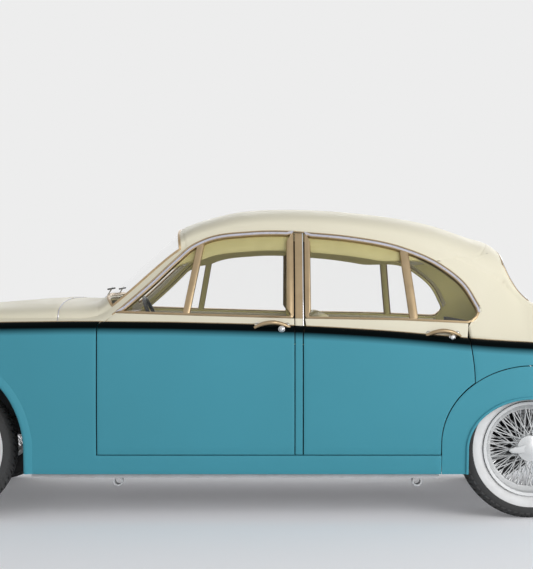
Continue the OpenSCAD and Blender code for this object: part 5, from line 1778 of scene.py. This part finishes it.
    def handle(self) -> None:
        """Arched lever on two feet, with a round button under its rear end."""
        x0, x1, z = self.spec.handle
        e = self.side.value
        t = np.linspace(0, 1, 25)
        x = x0 + (x1 - x0) * t
        base = BODY.skin(x, BODY.s_of(x, np.full(25, z)))
        lift = 10 + 20 * np.sin(np.pi * (0.06 + 0.88 * t))
        path = np.stack([x, e * (np.abs(base[:, 1]) + lift), z - 13 + 25 * np.sin(np.pi * t) ** 0.8 - 2 * t], 1)
        swell = 0.45 + 0.55 * np.sin(np.pi * (0.1 + 0.8 * t)) ** 0.7
        lever = Modeller.tube(self.tag("door_lever"), path, 10.5, 4, radii=swell)
        Modeller.smooth(lever, 40)
        Modeller.place(lever, CHROME_BROWN_REFLECTION, self.body, "brightwork")
        parts = []
        for px in (x0 + 12, x1 - 14):
            parts.append(Modeller.lathe("foot", [(0, -6), (13, -6), (14, 1), (10, 6), (7.5, 14), (0, 16)], 24,
                                        (px, e * BODY.half_width(px, z), z - 3), (0, e, 0), False))
        bx, bz = x1 - 40, z - 19
        place = (bx, e * BODY.half_width(bx, bz), bz)
        parts.append(Modeller.lathe("button", HANDLE_BUTTON, 28, place, (0, e, 0), False))
        Modeller.piece(self.tag("door_handle"), parts, CHROME, self.body, "brightwork")

    def build(self) -> None:
        """Builds the door."""
        self.panel()
        self.frames()
        self.card()
        self.glass()
        self.bar()
        self.handle()


TYRE: Profile = (
    (209, -60), (222, -68), (245, -80), (268, -84), (292, -80), (308, -70), (317, -56), (319, -40), (319, 40),
    (317, 56), (308, 70), (292, 80), (268, 84), (245, 80), (222, 68), (209, 60), (212, 30), (212, -30))
WHITE_BAND: Profile = ((221, 66), (223, 70), (245, 81.5), (260, 84.6), (270, 85.2), (272, 83), (260, 82), (240, 76))
RIM: Profile = (
    (219, 80), (221, 76), (219, 70), (208, 66), (208, 28), (196, 18), (196, -18), (208, -28), (208, -66), (219, -70),
    (221, -76), (219, -80), (206, -78), (201, -66), (201, -32), (189, -20), (180, -14), (178, 0), (180, 14), (189, 20),
    (201, 32), (201, 66), (206, 78))
HUB: Profile = ((20, -42), (52, -42), (53, -36), (52, -30), (41, -24), (38, 0), (40, 38), (48, 44), (50, 50), (48, 58),
                (60, 62), (60, 66), (44, 70), (30, 76), (16, 80), (0, 80))


@dataclass
class Wheel:
    """One road wheel: tyre with its white band and tread, wire wheel and two-eared nut."""

    axle: float
    track: float
    word: str
    side: Side
    tread_r: float = 325.9
    tread_blocks: int = 64
    spokes_in_row: int = 18

    def __post_init__(self) -> None:
        """Finds the wheel's place and names its body and its pieces."""
        self.centre = (self.axle, self.side.value * self.track / 2, AXLE_Z)
        self.axis = (0, self.side.value, 0)
        self.body = f"{self.word}_wheel_body_{self.side.word}"
        self.tag = f"{self.word}_{{}}_{self.side.word}".format

    def tyre(self) -> None:
        """Carcass, tread blocks and white band."""
        parts = [Modeller.lathe("carcass", TYRE, 96, self.centre, self.axis), self.tread()]
        Modeller.piece(self.tag("tyre_carcass"), parts, RUBBER, self.body, "tyre_rubber", [self.tag("tyre")], angle=32)
        band = Modeller.lathe(self.tag("white_band"), WHITE_BAND, 96, self.centre, self.axis)
        Modeller.smooth(band, 40)
        Modeller.place(band, WHITEWALL, self.body, "tyre_rubber")

    def tread(self) -> Piece:
        """Rows of slanted blocks round the tread.

        Returns:
            The new object.
        """
        pts: list[Triple] = []
        faces: Faces = []
        n = self.tread_blocks
        ribs = ((-75, -44, 300, 318, 0.030), (-40, -15, 319, 319, -0.018), (-11, 11, 319, 319, 0.014),
                (15, 40, 319, 319, -0.018), (44, 75, 318, 300, -0.030))
        for k, (b0, b1, r0, r1, lean) in enumerate(ribs):
            for i in range(n):
                a0 = 2 * math.pi * (i + 0.5 * (k % 2)) / n
                base = len(pts)
                for rise in (-6, 7):
                    for b, da, r in ((b0, lean, r0), (b1, -lean, r1), (b1, 0.064 - lean, r1), (b0, 0.064 + lean, r0)):
                        rr = min(r + rise, self.tread_r)
                        pts.append((self.centre[0] + rr * math.cos(a0 + da), self.centre[1] + self.axis[1] * b,
                                    self.centre[2] + rr * math.sin(a0 + da)))
                faces += [tuple(base + q for q in f) for f in
                          ((0, 1, 2, 3), (4, 7, 6, 5), (0, 4, 5, 1), (1, 5, 6, 2), (2, 6, 7, 3), (3, 7, 4, 0))]
        obj = Modeller.mesh("tread", np.array(pts), faces)
        Modeller.outward(obj)
        return obj

    def wire_wheel(self) -> None:
        """Rim, hub, spokes with their nipples, and the two-eared nut."""
        rim = Modeller.lathe("rim", RIM, 96, self.centre, self.axis)
        hub = Modeller.lathe("hub", HUB, 48, self.centre, self.axis, False)
        parts = [rim, hub, self.spokes(), self.nut()]
        Modeller.piece(self.tag("wire_wheel"), parts, SILVER, self.body, "wheel_silver", [self.tag("wheel")])

    def spokes(self) -> Piece:
        """Six rows of crossing spokes, each a thin six-sided rod.

        Returns:
            The new object.
        """
        e = self.axis[1]
        rows = ((46, 55, 187, 14, 0.0, 0.60), (46, 49, 187, 8, 0.13, -0.60), (50, -33, 187, -6, 0.07, 0.72),
                (50, -39, 187, -12, 0.2, -0.72), (46, 52, 187, 2, 0.2, 0.30), (50, -36, 187, -2, 0.0, -0.34))
        pts, faces = [], []
        n = self.spokes_in_row
        for r0, h0, r1, h1, a0, turn in rows:
            for i in range(n):
                a = 2 * math.pi * i / n + a0
                p = np.array([r0 * math.cos(a), e * h0, r0 * math.sin(a)])
                q = np.array([r1 * math.cos(a + turn), e * h1, r1 * math.sin(a + turn)])
                d = (q - p) / np.linalg.norm(q - p)
                u = np.cross(d, (0, 1, 0))
                u /= np.linalg.norm(u)
                v = np.cross(d, u)
                base = len(pts)
                for centre, rad in ((p, 2.4), (q - 26 * d, 2.4), (q - 24 * d, 4.0), (q, 4.0)):
                    pts += [centre + rad * (math.cos(g) * u + math.sin(g) * v)
                            for g in np.linspace(0, 2 * math.pi, 7)[:-1]]
                faces += [tuple(base + g for g in face) for face in quads(4, 6, False, True)]
                faces += [tuple(base + g for g in range(5, -1, -1)), tuple(base + 18 + g for g in range(6))]
        obj = Modeller.mesh("spokes", np.array(pts) + np.array(self.centre), faces)
        Modeller.outward(obj)
        return obj

    def nut(self) -> Piece:
        """Two-eared nut that holds the wheel on its hub.

        Returns:
            The new object.
        """
        outline = np.array([(-20, -20), (-26, -50), (-22, -88), (-12, -102), (-2, -100), (6, -80), (14, -44), (24, -20),
                            (20, 20), (26, 50), (22, 88), (12, 102), (2, 100), (-6, 80), (-14, 44), (-24, 20)], float)
        n = len(outline)
        e = self.axis[1]
        reach = np.linalg.norm(outline, axis=1)
        pts = [(p[1], e * (66 + 3 * (r > 60)), p[0]) for p, r in zip(outline, reach)]
        pts += [(p[1] * 0.94, e * (77 - 2 * (r > 60)), p[0] * 0.8) for p, r in zip(outline, reach)]
        faces = [tuple(range(n)), tuple(range(2 * n - 1, n - 1, -1))]
        faces += quads(2, n, False, True)
        obj = Modeller.mesh("nut", np.array(pts) + np.array(self.centre), faces)
        Modeller.outward(obj)
        Modeller.bevel(obj, 2.5, 2, 30)
        return obj

    def build(self) -> None:
        """Builds the wheel."""
        self.tyre()
        self.wire_wheel()


@dataclass
class FixedStrips:
    """Bright strips along the belt on the panels that don't open, in chrome tinted brown as a painted reflection, and
    the bead behind the bonnet in pale chrome as a painted highlight.
    """

    first: float = -2100.0
    rear: Pair = (950.0, 2130.0)

    def build(self) -> None:
        """Builds the strips of the front and rear wings and the bead."""
        front = np.linspace(self.first, float(lip_x(FRONT_HINGE, np.array(1.0), 20.0)), 120)
        rear = np.linspace(*self.rear, 100)
        lines = [(x, np.full(x.shape, 1.0)) for x in (front, rear)]
        obj = swept_piece("belt_strips", lines, HALF_ROUND, sides=BOTH)
        Modeller.place(obj, CHROME_BROWN_REFLECTION, ROOT, "brightwork")
        # The bead is pale chrome as a painted highlight along the bonnet's rear edge.
        s = np.linspace(1.03, 4.97, 240)
        clear = np.abs(np.abs(BODY.under(np.full_like(s, BONNET_REAR), s, np.zeros_like(s))[:, 1]) - LID_ARM_Y) > 20
        runs = [r for r in np.split(s, np.nonzero(np.diff(clear))[0] + 1) if clear[np.searchsorted(s, r[0])]]
        bead = swept_piece("scuttle_edge_bead", [(np.full_like(r, BONNET_REAR + 3.4), r) for r in runs],
                           ((-1.5, -9), (-1.5, -1.2), (0, -0.4), (1.5, -1.2), (1.5, -9)))
        Modeller.place(bead, CHROME_PAINTED_HIGHLIGHT, ROOT, "brightwork")


AFT = (1, 0, 0)
LAMP_BEZEL: Profile = ((77, 9), (78.5, -4), (82, -11), (88, -12), (93, -8), (95.5, 0), (92, 8), (90.5, 70), (86, 70),
                       (85, 12))
LAMP_BOWL: Profile = ((0, 58), (14, 57), (36, 50), (60, 34), (77, 11), (80, 13), (62, 38), (37, 55), (14, 62), (0, 63))
LAMP_BULB: Profile = ((0, 24), (9, 26), (12, 32), (12, 40), (6, 48), (6, 58))
LAMP_LENS: Profile = ((0, -14), (30, -12.6), (55, -7.5), (70, -1), (76, 4), (76.5, 8), (74, 8), (54, -3), (29, -8),
                      (0, -9.4))


def ellipse(y: float, z: float, ry: float, rz: float, n: int = 72) -> Points:
    """Points of an upright ellipse across the car as [y, z]."""
    a = np.linspace(0, 2 * math.pi, n, endpoint=False)
    return np.column_stack([y + ry * np.cos(a), z + rz * np.sin(a)])


@dataclass
class Ends:
    """Nose and tail: end panels, grille, lamps and bumpers."""

    tip: float = 2295.0
    grille_z: float = 560.0
    grille: Pair = (150.0, 185.0)
    lamp: Triple = (-2216.0, 545.0, 640.0)
    blade: Profile = ((0, 0), (2, 120), (6, 240), (12, 360), (20, 460), (32, 555), (58, 635), (110, 700),
                               (200, 748), (300, 784))

    def panels(self) -> None:
        """The domed end panels."""
        for node in ("nose_panel", "tail_panel"):
            name = node + "_skin"
            Modeller.piece(name, [Modeller.copy_of(node, name)], TEAL_PLAIN, ROOT, "teal_paint", [node], 45)

    def bumper(self, word: str, e: int, z: float) -> None:
        """A curved blade with two overriders and its stays; e is -1 at the front and 1 at the rear.

        Args:
            word: Front or rear.
            e: The end.
            z: Height of its middle.
        """
        half = np.array(self.blade, float)
        both = np.concatenate([half[:0:-1] * [1, -1], half])
        line = smooth_line([tuple(p) for p in both], 110)
        path = np.column_stack([e * (self.tip - line[:, 0]), line[:, 1], np.full(len(line), z)])
        step = np.gradient(line, axis=0)
        out = np.column_stack([e * step[:, 1], step[:, 0], np.zeros(len(line))])
        out /= np.linalg.norm(out, axis=1, keepdims=True)
        section = np.array([(-9, 45), (-4, 42), (-1, 30), (0, 12), (-1.5, 0), (0, -12), (-1, -30), (-4, -42), (-9, -45),
                            (-13, -44), (-8, -28), (-6, 0), (-8, 28), (-13, 44)], float)
        grid = path[:, None] + out[:, None] * section[None, :, :1] + np.array([0, 0, 1.0]) * section[None, :, 1:]
        n, k = grid.shape[:2]
        faces = quads(n, k, False, True)
        faces += [tuple(range(k)), tuple((n - 1) * k + j for j in range(k))]
        obj = Modeller.mesh("blade", grid.reshape(-1, 3), faces)
        Modeller.outward(obj)
        parts = [obj]
        for side in (-1, 1):
            a, b = sorted((e * (self.tip - 1), e * (self.tip - 46)))
            parts.append(Modeller.block("overrider", (a, side * 300 - 25, z - 92), (b, side * 300 + 25, z + 94), 18, 5))
            a, b = sorted((e * (self.tip - 24), e * (12 - BODY_FRONT)))
            parts.append(Modeller.block("stay", (a, side * 200 - 18, z - 22), (b, side * 200 + 18, z + 22), 4))
        Modeller.piece(word + "_bumper_blade", parts, CHROME, ROOT, "brightwork", [word + "_bumper"])

    def radiator(self) -> None:
        """Oval surround with upright slats over a dark core."""
        w, h = self.grille
        parts = []
        for grow, x, r in ((-7.0, -2243.0, 11.0), (-17.0, -2238.0, 4.5)):
            ring = ellipse(0, self.grille_z, w + grow, h + grow, 96)
            parts.append(Modeller.tube("surround", np.column_stack([np.full(96, x), ring]), r, 4, True))
        for i in range(-6, 7):
            y = i * 20.0
            top = (h - 16) * math.sqrt(max(0.0, 1 - (y / (w - 12)) ** 2))
            half = 7.0 if i == 0 else 2.6
            front = -2253.0 if i == 0 else -2246.0
            parts.append(Modeller.block("slat", (front, y - half, self.grille_z - top),
                                        (-2216, y + half, self.grille_z + top), 2.2))
        Modeller.piece("radiator_grille", parts, CHROME, ROOT, "brightwork", ["grille"])
        core = Modeller.plate("radiator_core", ellipse(0, self.grille_z, w - 4, h - 4), -2215.5, -2212.5, 0)
        Modeller.place(core, SEAL, ROOT)

    def headlamps(self) -> None:
        """Bezel, bowl and bulb of both headlamps, and their lenses."""
        x, y, z = self.lamp
        shells, lenses = [], []
        for side in (-1, 1):
            c = (x, side * y, z)
            shells += [Modeller.lathe("bezel", LAMP_BEZEL, 64, c, AFT),
                       Modeller.lathe("bowl", LAMP_BOWL, 64, c, AFT, False),
                       Modeller.lathe("bulb", LAMP_BULB, 24, c, AFT, False)]
            lenses.append(Modeller.lathe("lens", LAMP_LENS, 64, c, AFT, False))
        for name, parts, finish, slot in (("headlamp_shells", shells, CHROME, "brightwork"),
                                          ("headlamp_glasses", lenses, LENS, "lamp_glass")):
            Modeller.piece(name, parts, finish, ROOT, slot, ["headlamps" if finish is CHROME else "headlamp_lenses"])

    def small_lamps(self) -> None:
        """Amber lamps at the front and red ones at the rear, each in a bright ring."""
        sets = (("side", AMBER, "amber_lens", -1, (-2236.0, 400.0, 520.0), 31.0, 27.0),
                ("tail", RED, "red_lens", 1, (2233.5, 440.0, 560.0), 37.0, 30.0))
        for word, finish, slot, e, (x, y, z), r, tall in sets:
            rings, lenses = [], []
            for side in (-1, 1):
                c = (x, side * y, z)
                dome = [(0, tall), (r * 0.4, tall - 1.5), (r * 0.55, tall - 4), (r * 0.6, tall - 9),
                        (r * 0.8, tall - 13), (r - 2.5, 6), (r - 2.5, -20), (0, -20)]
                lenses.append(Modeller.lathe("lens", dome, 48, c, (e, 0, 0), False))
                hoop = [(r - 3, 9), (r - 1, 11), (r + 2, 9), (r + 3.5, 3), (r + 3.5, -8), (r - 3, -8)]
                rings.append(Modeller.lathe("ring", hoop, 48, c, (e, 0, 0)))
            for kind, parts, f, sl, nodes in (("lenses", lenses, finish, slot, [word + "_lamps"]),
                                              ("rings", rings, CHROME, "brightwork", [])):
                Modeller.piece(f"{word}_lamp_{kind}", parts, f, ROOT, sl, nodes, angle=35)

    def build(self) -> None:
        """Builds both ends."""
        self.panels()
        self.bumper("front", -1, 400.0)
        self.bumper("rear", 1, 450.0)
        self.radiator()
        self.headlamps()
        self.small_lamps()


class Trim(Enum):
    """Which way a padded piece faces."""

    UP = 0
    FORWARD = 1


@dataclass
class Cushion:
    """A stuffed seat pad with sewn flutes, blown up by a cloth simulation.

    Attributes:
        name: Name of the piece.
        low: Low corner of its block in millimetres, before it is turned.
        high: High corner.
        turn: Lean about the low front edge in degrees.
        faces: The side that is sat on.
    """

    name: str
    low: Triple
    high: Triple
    turn: float
    faces: Trim
    pitch: float = 46.0
    voxel: float = 6.0
    most: float = 22.0
    pressure: float = 4.0
    frames: int = 20
    seam: float = 7.5

    def set_points(self, obj: Piece, co: Points) -> None:
        """Writes points back to the mesh."""
        obj.data.vertices.foreach_set("co", co.reshape(-1))
        obj.data.update()

    def stuff(self, obj: Piece) -> None:
        """Blows the block up by cloth under pressure, with its movement capped.

        Args:
            obj: The pad.
        """
        before = Modeller.points(obj)
        mod = obj.modifiers.new("stuffing", "CLOTH")
        mod.settings.quality = 4
        mod.settings.use_pressure = True
        mod.settings.uniform_pressure_force = self.pressure
        mod.settings.tension_stiffness = mod.settings.compression_stiffness = 12.0
        mod.settings.effector_weights.gravity = 0.0
        mod.collision_settings.use_collision = False
        mod.point_cache.frame_start, mod.point_cache.frame_end = 1, self.frames
        for f in range(1, self.frames + 1):
            bpy.context.scene.frame_set(f)
        Modeller.only(obj)
        bpy.ops.object.modifier_apply(modifier=mod.name)
        bpy.context.scene.frame_set(1)
        moved = Modeller.points(obj) - before
        far = np.linalg.norm(moved, axis=1, keepdims=True)
        self.set_points(obj, before + moved * np.minimum(1, self.most * MM / np.maximum(far, 1e-9)))

    def flute(self, obj: Piece) -> None:
        """Presses the flutes' seams into the side that is sat on.

        Args:
            obj: The pad.
        """
        co = Modeller.points(obj) / MM
        n = Modeller.points(obj, "normal")
        toward = n[:, 2] if self.faces is Trim.UP else -n[:, 0]
        mid, half = (self.low[1] + self.high[1]) / 2, (self.high[1] - self.low[1]) / 2
        y = co[:, 1] - mid
        k = 0 if self.faces is Trim.UP else 2
        f = (co[:, k] - self.low[k]) / (self.high[k] - self.low[k])
        inside = np.clip((half - 62 - np.abs(y)) / 10, 0, 1) * np.clip((f - 0.1) / 0.04, 0, 1)
        inside *= np.clip((0.86 - f) / 0.04, 0, 1)
        off = (y + self.pitch / 2) % self.pitch - self.pitch / 2
        press = self.seam * np.exp(-((off / 6.0) ** 2)) * inside * np.clip((toward - 0.35) / 0.3, 0, 1)
        self.set_points(obj, (co - n * press[:, None]) * MM)

    def build(self) -> Piece:
        """Makes the pad.

        Returns:
            The pad's object.
        """
        obj = Modeller.block(self.name, self.low, self.high, min(48.0, (self.high[2] - self.low[2]) * 0.36,
                                                                (self.high[0] - self.low[0]) * 0.44), 6)
        obj.data.remesh_voxel_size = self.voxel * MM
        Modeller.only(obj)
        bpy.ops.object.voxel_remesh()
        self.stuff(obj)
        self.flute(obj)
        lean = Matrix.Translation(Vector(self.low) * MM) @ Matrix.Rotation(math.radians(self.turn), 4, "Y")
        obj.data.transform(lean @ Matrix.Translation(-Vector(self.low) * MM))
        Modeller.only(obj)
        bpy.ops.object.shade_smooth()
        return obj


@dataclass
class Cabin:
    """Seats, carpet, dash, wheel and small fittings inside."""

    dash_x: float = -783.8
    wheel_at: Triple = (-540.0, -360.0, 838.0)
    tilt: float = 24.0

    def seats(self) -> None:
        """Two front seats and a rear bench, each of a cushion and a back."""
        left = [Cushion("front_cushion_left", (-322, -617, 350), (112, -173, 474), 0.0, Trim.UP).build(),
                Cushion("front_back_left", (116, -612, 470), (196, -178, 985), 14.0, Trim.FORWARD).build()]
        for obj in left:
            other = bpy.data.objects.new(obj.name.replace("left", "right"), obj.data.copy())
            bpy.context.scene.collection.objects.link(other)
            other.data.transform(Matrix.Scale(-1, 4, (0, 1, 0)))
            other.data.flip_normals()
            for piece in (obj, other):
                self.padded(piece, ["front_seats"])
        bench = [Cushion("rear_cushion", (488, -530, 390), (800, 530, 482), 0.0, Trim.UP).build(),
                 Cushion("rear_back", (800, -528, 478), (868, 528, 905), 10.0, Trim.FORWARD).build()]
        for obj in bench:
            self.padded(obj, ["rear_seat"])

    def padded(self, obj: Piece, nodes: Sequence[str]) -> None:
        """Dresses a seat pad and places it."""
        Modeller.place(obj, HIDE, ROOT, "seat_hide", nodes)

    def carpet(self) -> None:
        """Carpet in the footwells and the rear shelf."""
        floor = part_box("seat_bases")[0].z / MM
        wells = []
        for side in (-1, 1):
            for x0, x1 in ((-1040, -262), (62, 508)):
                lo, hi = sorted((side * 78, side * 712))
                wells.append(Modeller.block("mat", (x0, lo, floor + 0.6), (x1, hi, floor + 9), 3.0))
        Modeller.piece("footwell_carpets", wells, CARPET, ROOT)
        shelf = Modeller.block("rear_shelf", (912, -560, 868), (1230, 560, 880), 5.0)
        Modeller.smooth(shelf, 40)
        Modeller.place(shelf, HIDE, ROOT)

    def dash(self) -> None:
        """Veneered dash with a rounded top rail, dials and a glovebox lid."""
        x = self.dash_x
        wood = [Modeller.block("rail", (x + 10, -640, 900), (x + 120, 640, 956), 22.0, 5),
                Modeller.block("fascia", (x + 6, -640, 762), (x + 108, 640, 906), 6.0),
                Modeller.block("glovebox", (x + 100, 200, 792), (x + 112, 560, 884), 5.0)]
        Modeller.piece("veneered_dash", wood, WOOD, ROOT, "dash_wood", ["dashboard"])
        rims, faces, marks = [], [], []
        face_x = x + 108
        for y, r in ((-450, 52), (-270, 52), (-105, 25), (-40, 25), (25, 25), (90, 25)):
            c = (face_x, y, 838)
            hoop = [(r - 5, 2), (r - 4, 6), (r, 9), (r + 4, 6), (r + 5, -2), (r - 5, -2)]
            rims.append(Modeller.lathe("rim", hoop, 48, c, AFT))
            faces.append(Modeller.lathe("face", [(0, 3), (r - 4, 2.4), (r - 3, -2), (0, -2)], 40, c, AFT, False))
            for k in range(11):
                a = math.radians(-130 + 26 * k)
                p = [np.array([face_x + 3.6, y + q * r * math.sin(a), 838 + q * r * math.cos(a)]) for q in (0.66, 0.84)]
                marks.append(Modeller.tube("mark", np.array(p), 0.9, 1))
            p = np.array([[face_x + 4.4, y, 838], [face_x + 4.4, y - 0.5 * r, 838 - 0.3 * r]])
            marks.append(Modeller.tube("pointer", p, 1.0, 1))
        rims.append(Modeller.lathe("knob", [(0, 20), (8, 18), (10, 14), (6, 6), (6, -2), (0, -2)], 24,
                                   (x + 112, 380, 872), (1, 0, 0), False))
        for name, parts, finish in (("dial_rims", rims, CHROME), ("dial_faces", faces, RIM_BLACK),
                                    ("dial_marks", marks, WHITEWALL)):
            Modeller.piece(name, parts, finish, ROOT)

    def steering_wheel(self) -> None:
        """Slim rim, three paired spokes, half horn ring and boss."""
        t = math.radians(90 - self.tilt)
        axis = np.array([math.sin(t), 0, math.cos(t)])
        u, v = np.array([math.cos(t), 0, -math.sin(t)]), np.array([0, 1.0, 0])
        c = np.array(self.wheel_at) + axis * 20.3
        a = np.linspace(0, 2 * math.pi, 96, endpoint=False)

        def ring(r: float, h: float) -> Points:
            """A circle round the wheel's axis, r wide and h along it."""
            return c + axis * h + r * (np.cos(a)[:, None] * u + np.sin(a)[:, None] * v)

        rim = Modeller.tube("steering_rim", ring(197, 0), 9.5, 4, True)
        dome = [(0, 16), (14, 15), (26, 10), (32, 2), (33.5, -8), (33.5, -19), (12, -19)]
        boss = Modeller.lathe("boss", dome, 48, c, axis, False)
        body = "steering_wheel_body"
        Modeller.piece("steering_rim", [rim, boss], RIM_BLACK, body, "black_plastic", ["steering_wheel"])
        bright = []
        for deg in (90, 210, 330):
            d = math.cos(math.radians(deg)) * u + math.sin(math.radians(deg)) * v
            side = np.cross(axis, d)
            for off in (-5.0, 5.0):
                line = np.array([c + d * r + side * off - axis * 6 * (1 - r / 195) for r in np.linspace(26, 188, 12)])
                bright.append(Modeller.tube("spoke", line, 3.4, 3))
        keep = (a > math.radians(60)) & (a < math.radians(300))
        bright.append(Modeller.tube("horn_ring", ring(112, 8)[keep], 4.0, 3))
        Modeller.piece("steering_spokes", bright, CHROME, body)

    def fittings(self) -> None:
        """Inside mirror and wipers."""
        frame_parts = [Modeller.block("mirror", (-446, -105, 1186), (-428, 105, 1240), 8.0, 4),
                       Modeller.tube("stem", np.array([[-438, 0, 1232], [-448, 0, 1270], [-452, 0, 1330]]), 5.0, 3)]
        Modeller.piece("inside_mirror", frame_parts, TRIM_PAINT, ROOT)
        glass = Modeller.block("mirror_glass", (-429, -99, 1191), (-426.5, 99, 1235), 1.2)
        Modeller.place(glass, CHROME, ROOT)
        arms, blades = [], []
        for y in (-350.0, 190.0):
            arms.append(Modeller.lathe("spindle", [(0, 16), (9, 14), (12, 6), (12, -14), (0, -14)], 24,
                                       (-783, y, 1022), (-0.7, 0, 0.7), False))
            line = np.array([[-786, y, 1036], [-775, y - 20, 1050], [-748, y - 120, 1078]])
            arms.append(Modeller.tube("arm", line, 3.2, 3))
            blades.append(Modeller.tube("blade", np.array([[-752 + 0.02 * d, y - 120 + d, 1072 + 0.02 * d]
                                                            for d in (-130, 0, 130)]), 4.0, 2))
        for name, parts, finish in (("wiper_arms", arms, CHROME), ("wiper_blades", blades, SEAL)):
            Modeller.piece(name, parts, finish, ROOT)

    def build(self) -> None:
        """Builds all that is inside."""
        self.seats()
        self.carpet()
        self.dash()
        self.steering_wheel()
        self.fittings()


CARRIED: tuple[tuple[Finish, tuple[str, ...]], ...] = (
    # The floor pan is made pale as painted light, to read as the lit floor under the car.
    (FLOOR_PAN_PAINTED_LIGHT, ("floor_pan",)),
    (UNDERSEAL, ("bulkheads", "knuckle_left", "knuckle_right", "front_frame", "boot_floor", "front_crossmember",
                 "rear_axle", "door_hinges", "lid_brackets", "seat_bases", "steering_column")),
    (IRON, ("engine_block",)),
    (STEEL, ("propshaft",)),
)


def dress_carried() -> None:
    """Gives the CAD nodes that still show their finishes."""
    for finish, names in CARRIED:
        for name in names:
            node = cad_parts.get(name)
            if node is not None and not node.hide_render:
                node.data.materials.clear()
                node.data.materials.append(finish.material())
                LOG.info("carried over %s in %s", name, finish.name)


@dataclass(frozen=True)
class Studio:
    """Pale floor and backdrop, soft lights and the camera at the photograph's place."""

    lens: float = 92.44
    distance: float = 7.56
    eye: float = 1.092
    paper: str = "ededed"
    horizon: float = 0.9
    zenith: float = 0.3
    ends: Pair = (0.45, 1.5)
    lift: float = 0.16
    fade: Pair = (5.0, 16.0)

    def floor(self) -> None:
        """A wide pale floor that fades into the surround."""
        bpy.ops.object.select_all(action="DESELECT")
        bpy.ops.mesh.primitive_plane_add(size=200)
        obj = bpy.context.view_layer.objects.active
        obj.name = "studio_floor"
        mat = bpy.data.materials.new("studio_floor_paper")
        mat.use_nodes = True
        kit = NodeKit(mat.node_tree)
        kit.link(kit.shade(0.6, 3.0, 0.2, "f2f2f4", "ebebed"), "Base Color")
        kit.set(Roughness=0.95, Specular_IOR_Level=0.1, Emission_Color=linear("f0f0f4"))
        seen = kit.seen()
        kit.link(kit.product(seen, self.lift), "Emission Strength")
        far = kit.node("VectorMath", {0: kit.coords}, operation="LENGTH")
        share = kit.product(kit.span(far.outputs["Value"], 0.0, 1.0, *self.fade), seen)
        glow = kit.node("Emission", {"Color": linear(self.paper)})
        blend = kit.node("MixShader", {0: share, 1: kit.shader.outputs[0], 2: glow.outputs[0]})
        kit.tree.links.new(blend.outputs[0], kit.tree.nodes["Material Output"].inputs["Surface"])
        obj.data.materials.append(mat)

    def world(self) -> None:
        """A pale surround, brighter at the horizon than overhead; camera and glass rays see the paper's colour."""
        world = bpy.data.worlds.new("studio_world")
        bpy.context.scene.world = world
        world.use_nodes = True
        kit = NodeKit(world.node_tree)
        split = kit.node("SeparateXYZ", {0: kit.coords.node.outputs["Generated"]})
        rise = kit.span(split.outputs["Z"], self.horizon, self.zenith, 0.25, 0.85)
        along = kit.span(split.outputs["X"], *self.ends, -1.0, 1.0)
        fill = kit.tree.nodes["Background"]
        fill.inputs["Color"].default_value = (0.97, 0.98, 1.0, 1.0)
        kit.tree.links.new(kit.product(rise, along), fill.inputs["Strength"])
        paper = kit.node("Background", {"Color": linear(self.paper), "Strength": 1.0})
        mix = kit.node("MixShader", {0: kit.seen(), 1: fill.outputs[0], 2: paper.outputs[0]})
        kit.tree.links.new(mix.outputs[0], kit.tree.nodes["World Output"].inputs["Surface"])

    def lamp(self, name: str, place: Sequence[float], aim: Sequence[float], size: Pair, power: float) -> None:
        """One soft rectangular light.

        Args:
            name: Its name.
            place: Where it hangs.
            aim: Where it points.
            size: Its width and height.
            power: Its watts.
        """
        data = bpy.data.lights.new(name, "AREA")
        data.shape, data.size, data.size_y, data.energy = "RECTANGLE", size[0], size[1], power
        obj = bpy.data.objects.new(name, data)
        bpy.context.scene.collection.objects.link(obj)
        obj.location = place
        obj.rotation_euler = (Vector(aim) - Vector(place)).to_track_quat("-Z", "Y").to_euler()

    def camera(self) -> None:
        """The camera, level and square to the car's left side."""
        data = bpy.data.cameras.new("studio_camera")
        data.lens, data.sensor_width, data.clip_end = self.lens, 36.0, 300.0
        obj = bpy.data.objects.new("studio_camera", data)
        bpy.context.scene.collection.objects.link(obj)
        obj.location = (0.0, -self.distance, self.eye)
        obj.rotation_euler = (math.radians(90), 0.0, 0.0)
        bpy.context.scene.camera = obj

    def build(self) -> None:
        """Builds the studio."""
        bpy.context.scene.view_settings.view_transform = "Standard"
        self.floor()
        self.world()
        self.lamp("key_light", (6.0, -6.5, 3.0), (0.6, 0, 0.8), (6.0, 4.0), 340.0)
        self.lamp("far_light", (1.0, 8.0, 4.0), (0, 0, 0.4), (9.0, 3.0), 130.0)
        self.camera()


def main() -> None:
    """Builds the car piece by piece, then the studio."""
    logging.basicConfig(level=logging.INFO, format="%(message)s")
    LowerBody().build()
    UpperBody().build()
    Lids().build()
    FixedStrips().build()
    Ends().build()
    Cabin().build()
    for side in Side:
        for spec in (FRONT_DOOR, REAR_DOOR):
            Door(spec, side).build()
        Wheel(FRONT_AXLE, 1397.0, "front", side).build()
        Wheel(REAR_AXLE, 1346.0, "rear", side).build()
    dress_carried()
    Studio().build()


if __name__ == "__main__":
    main()
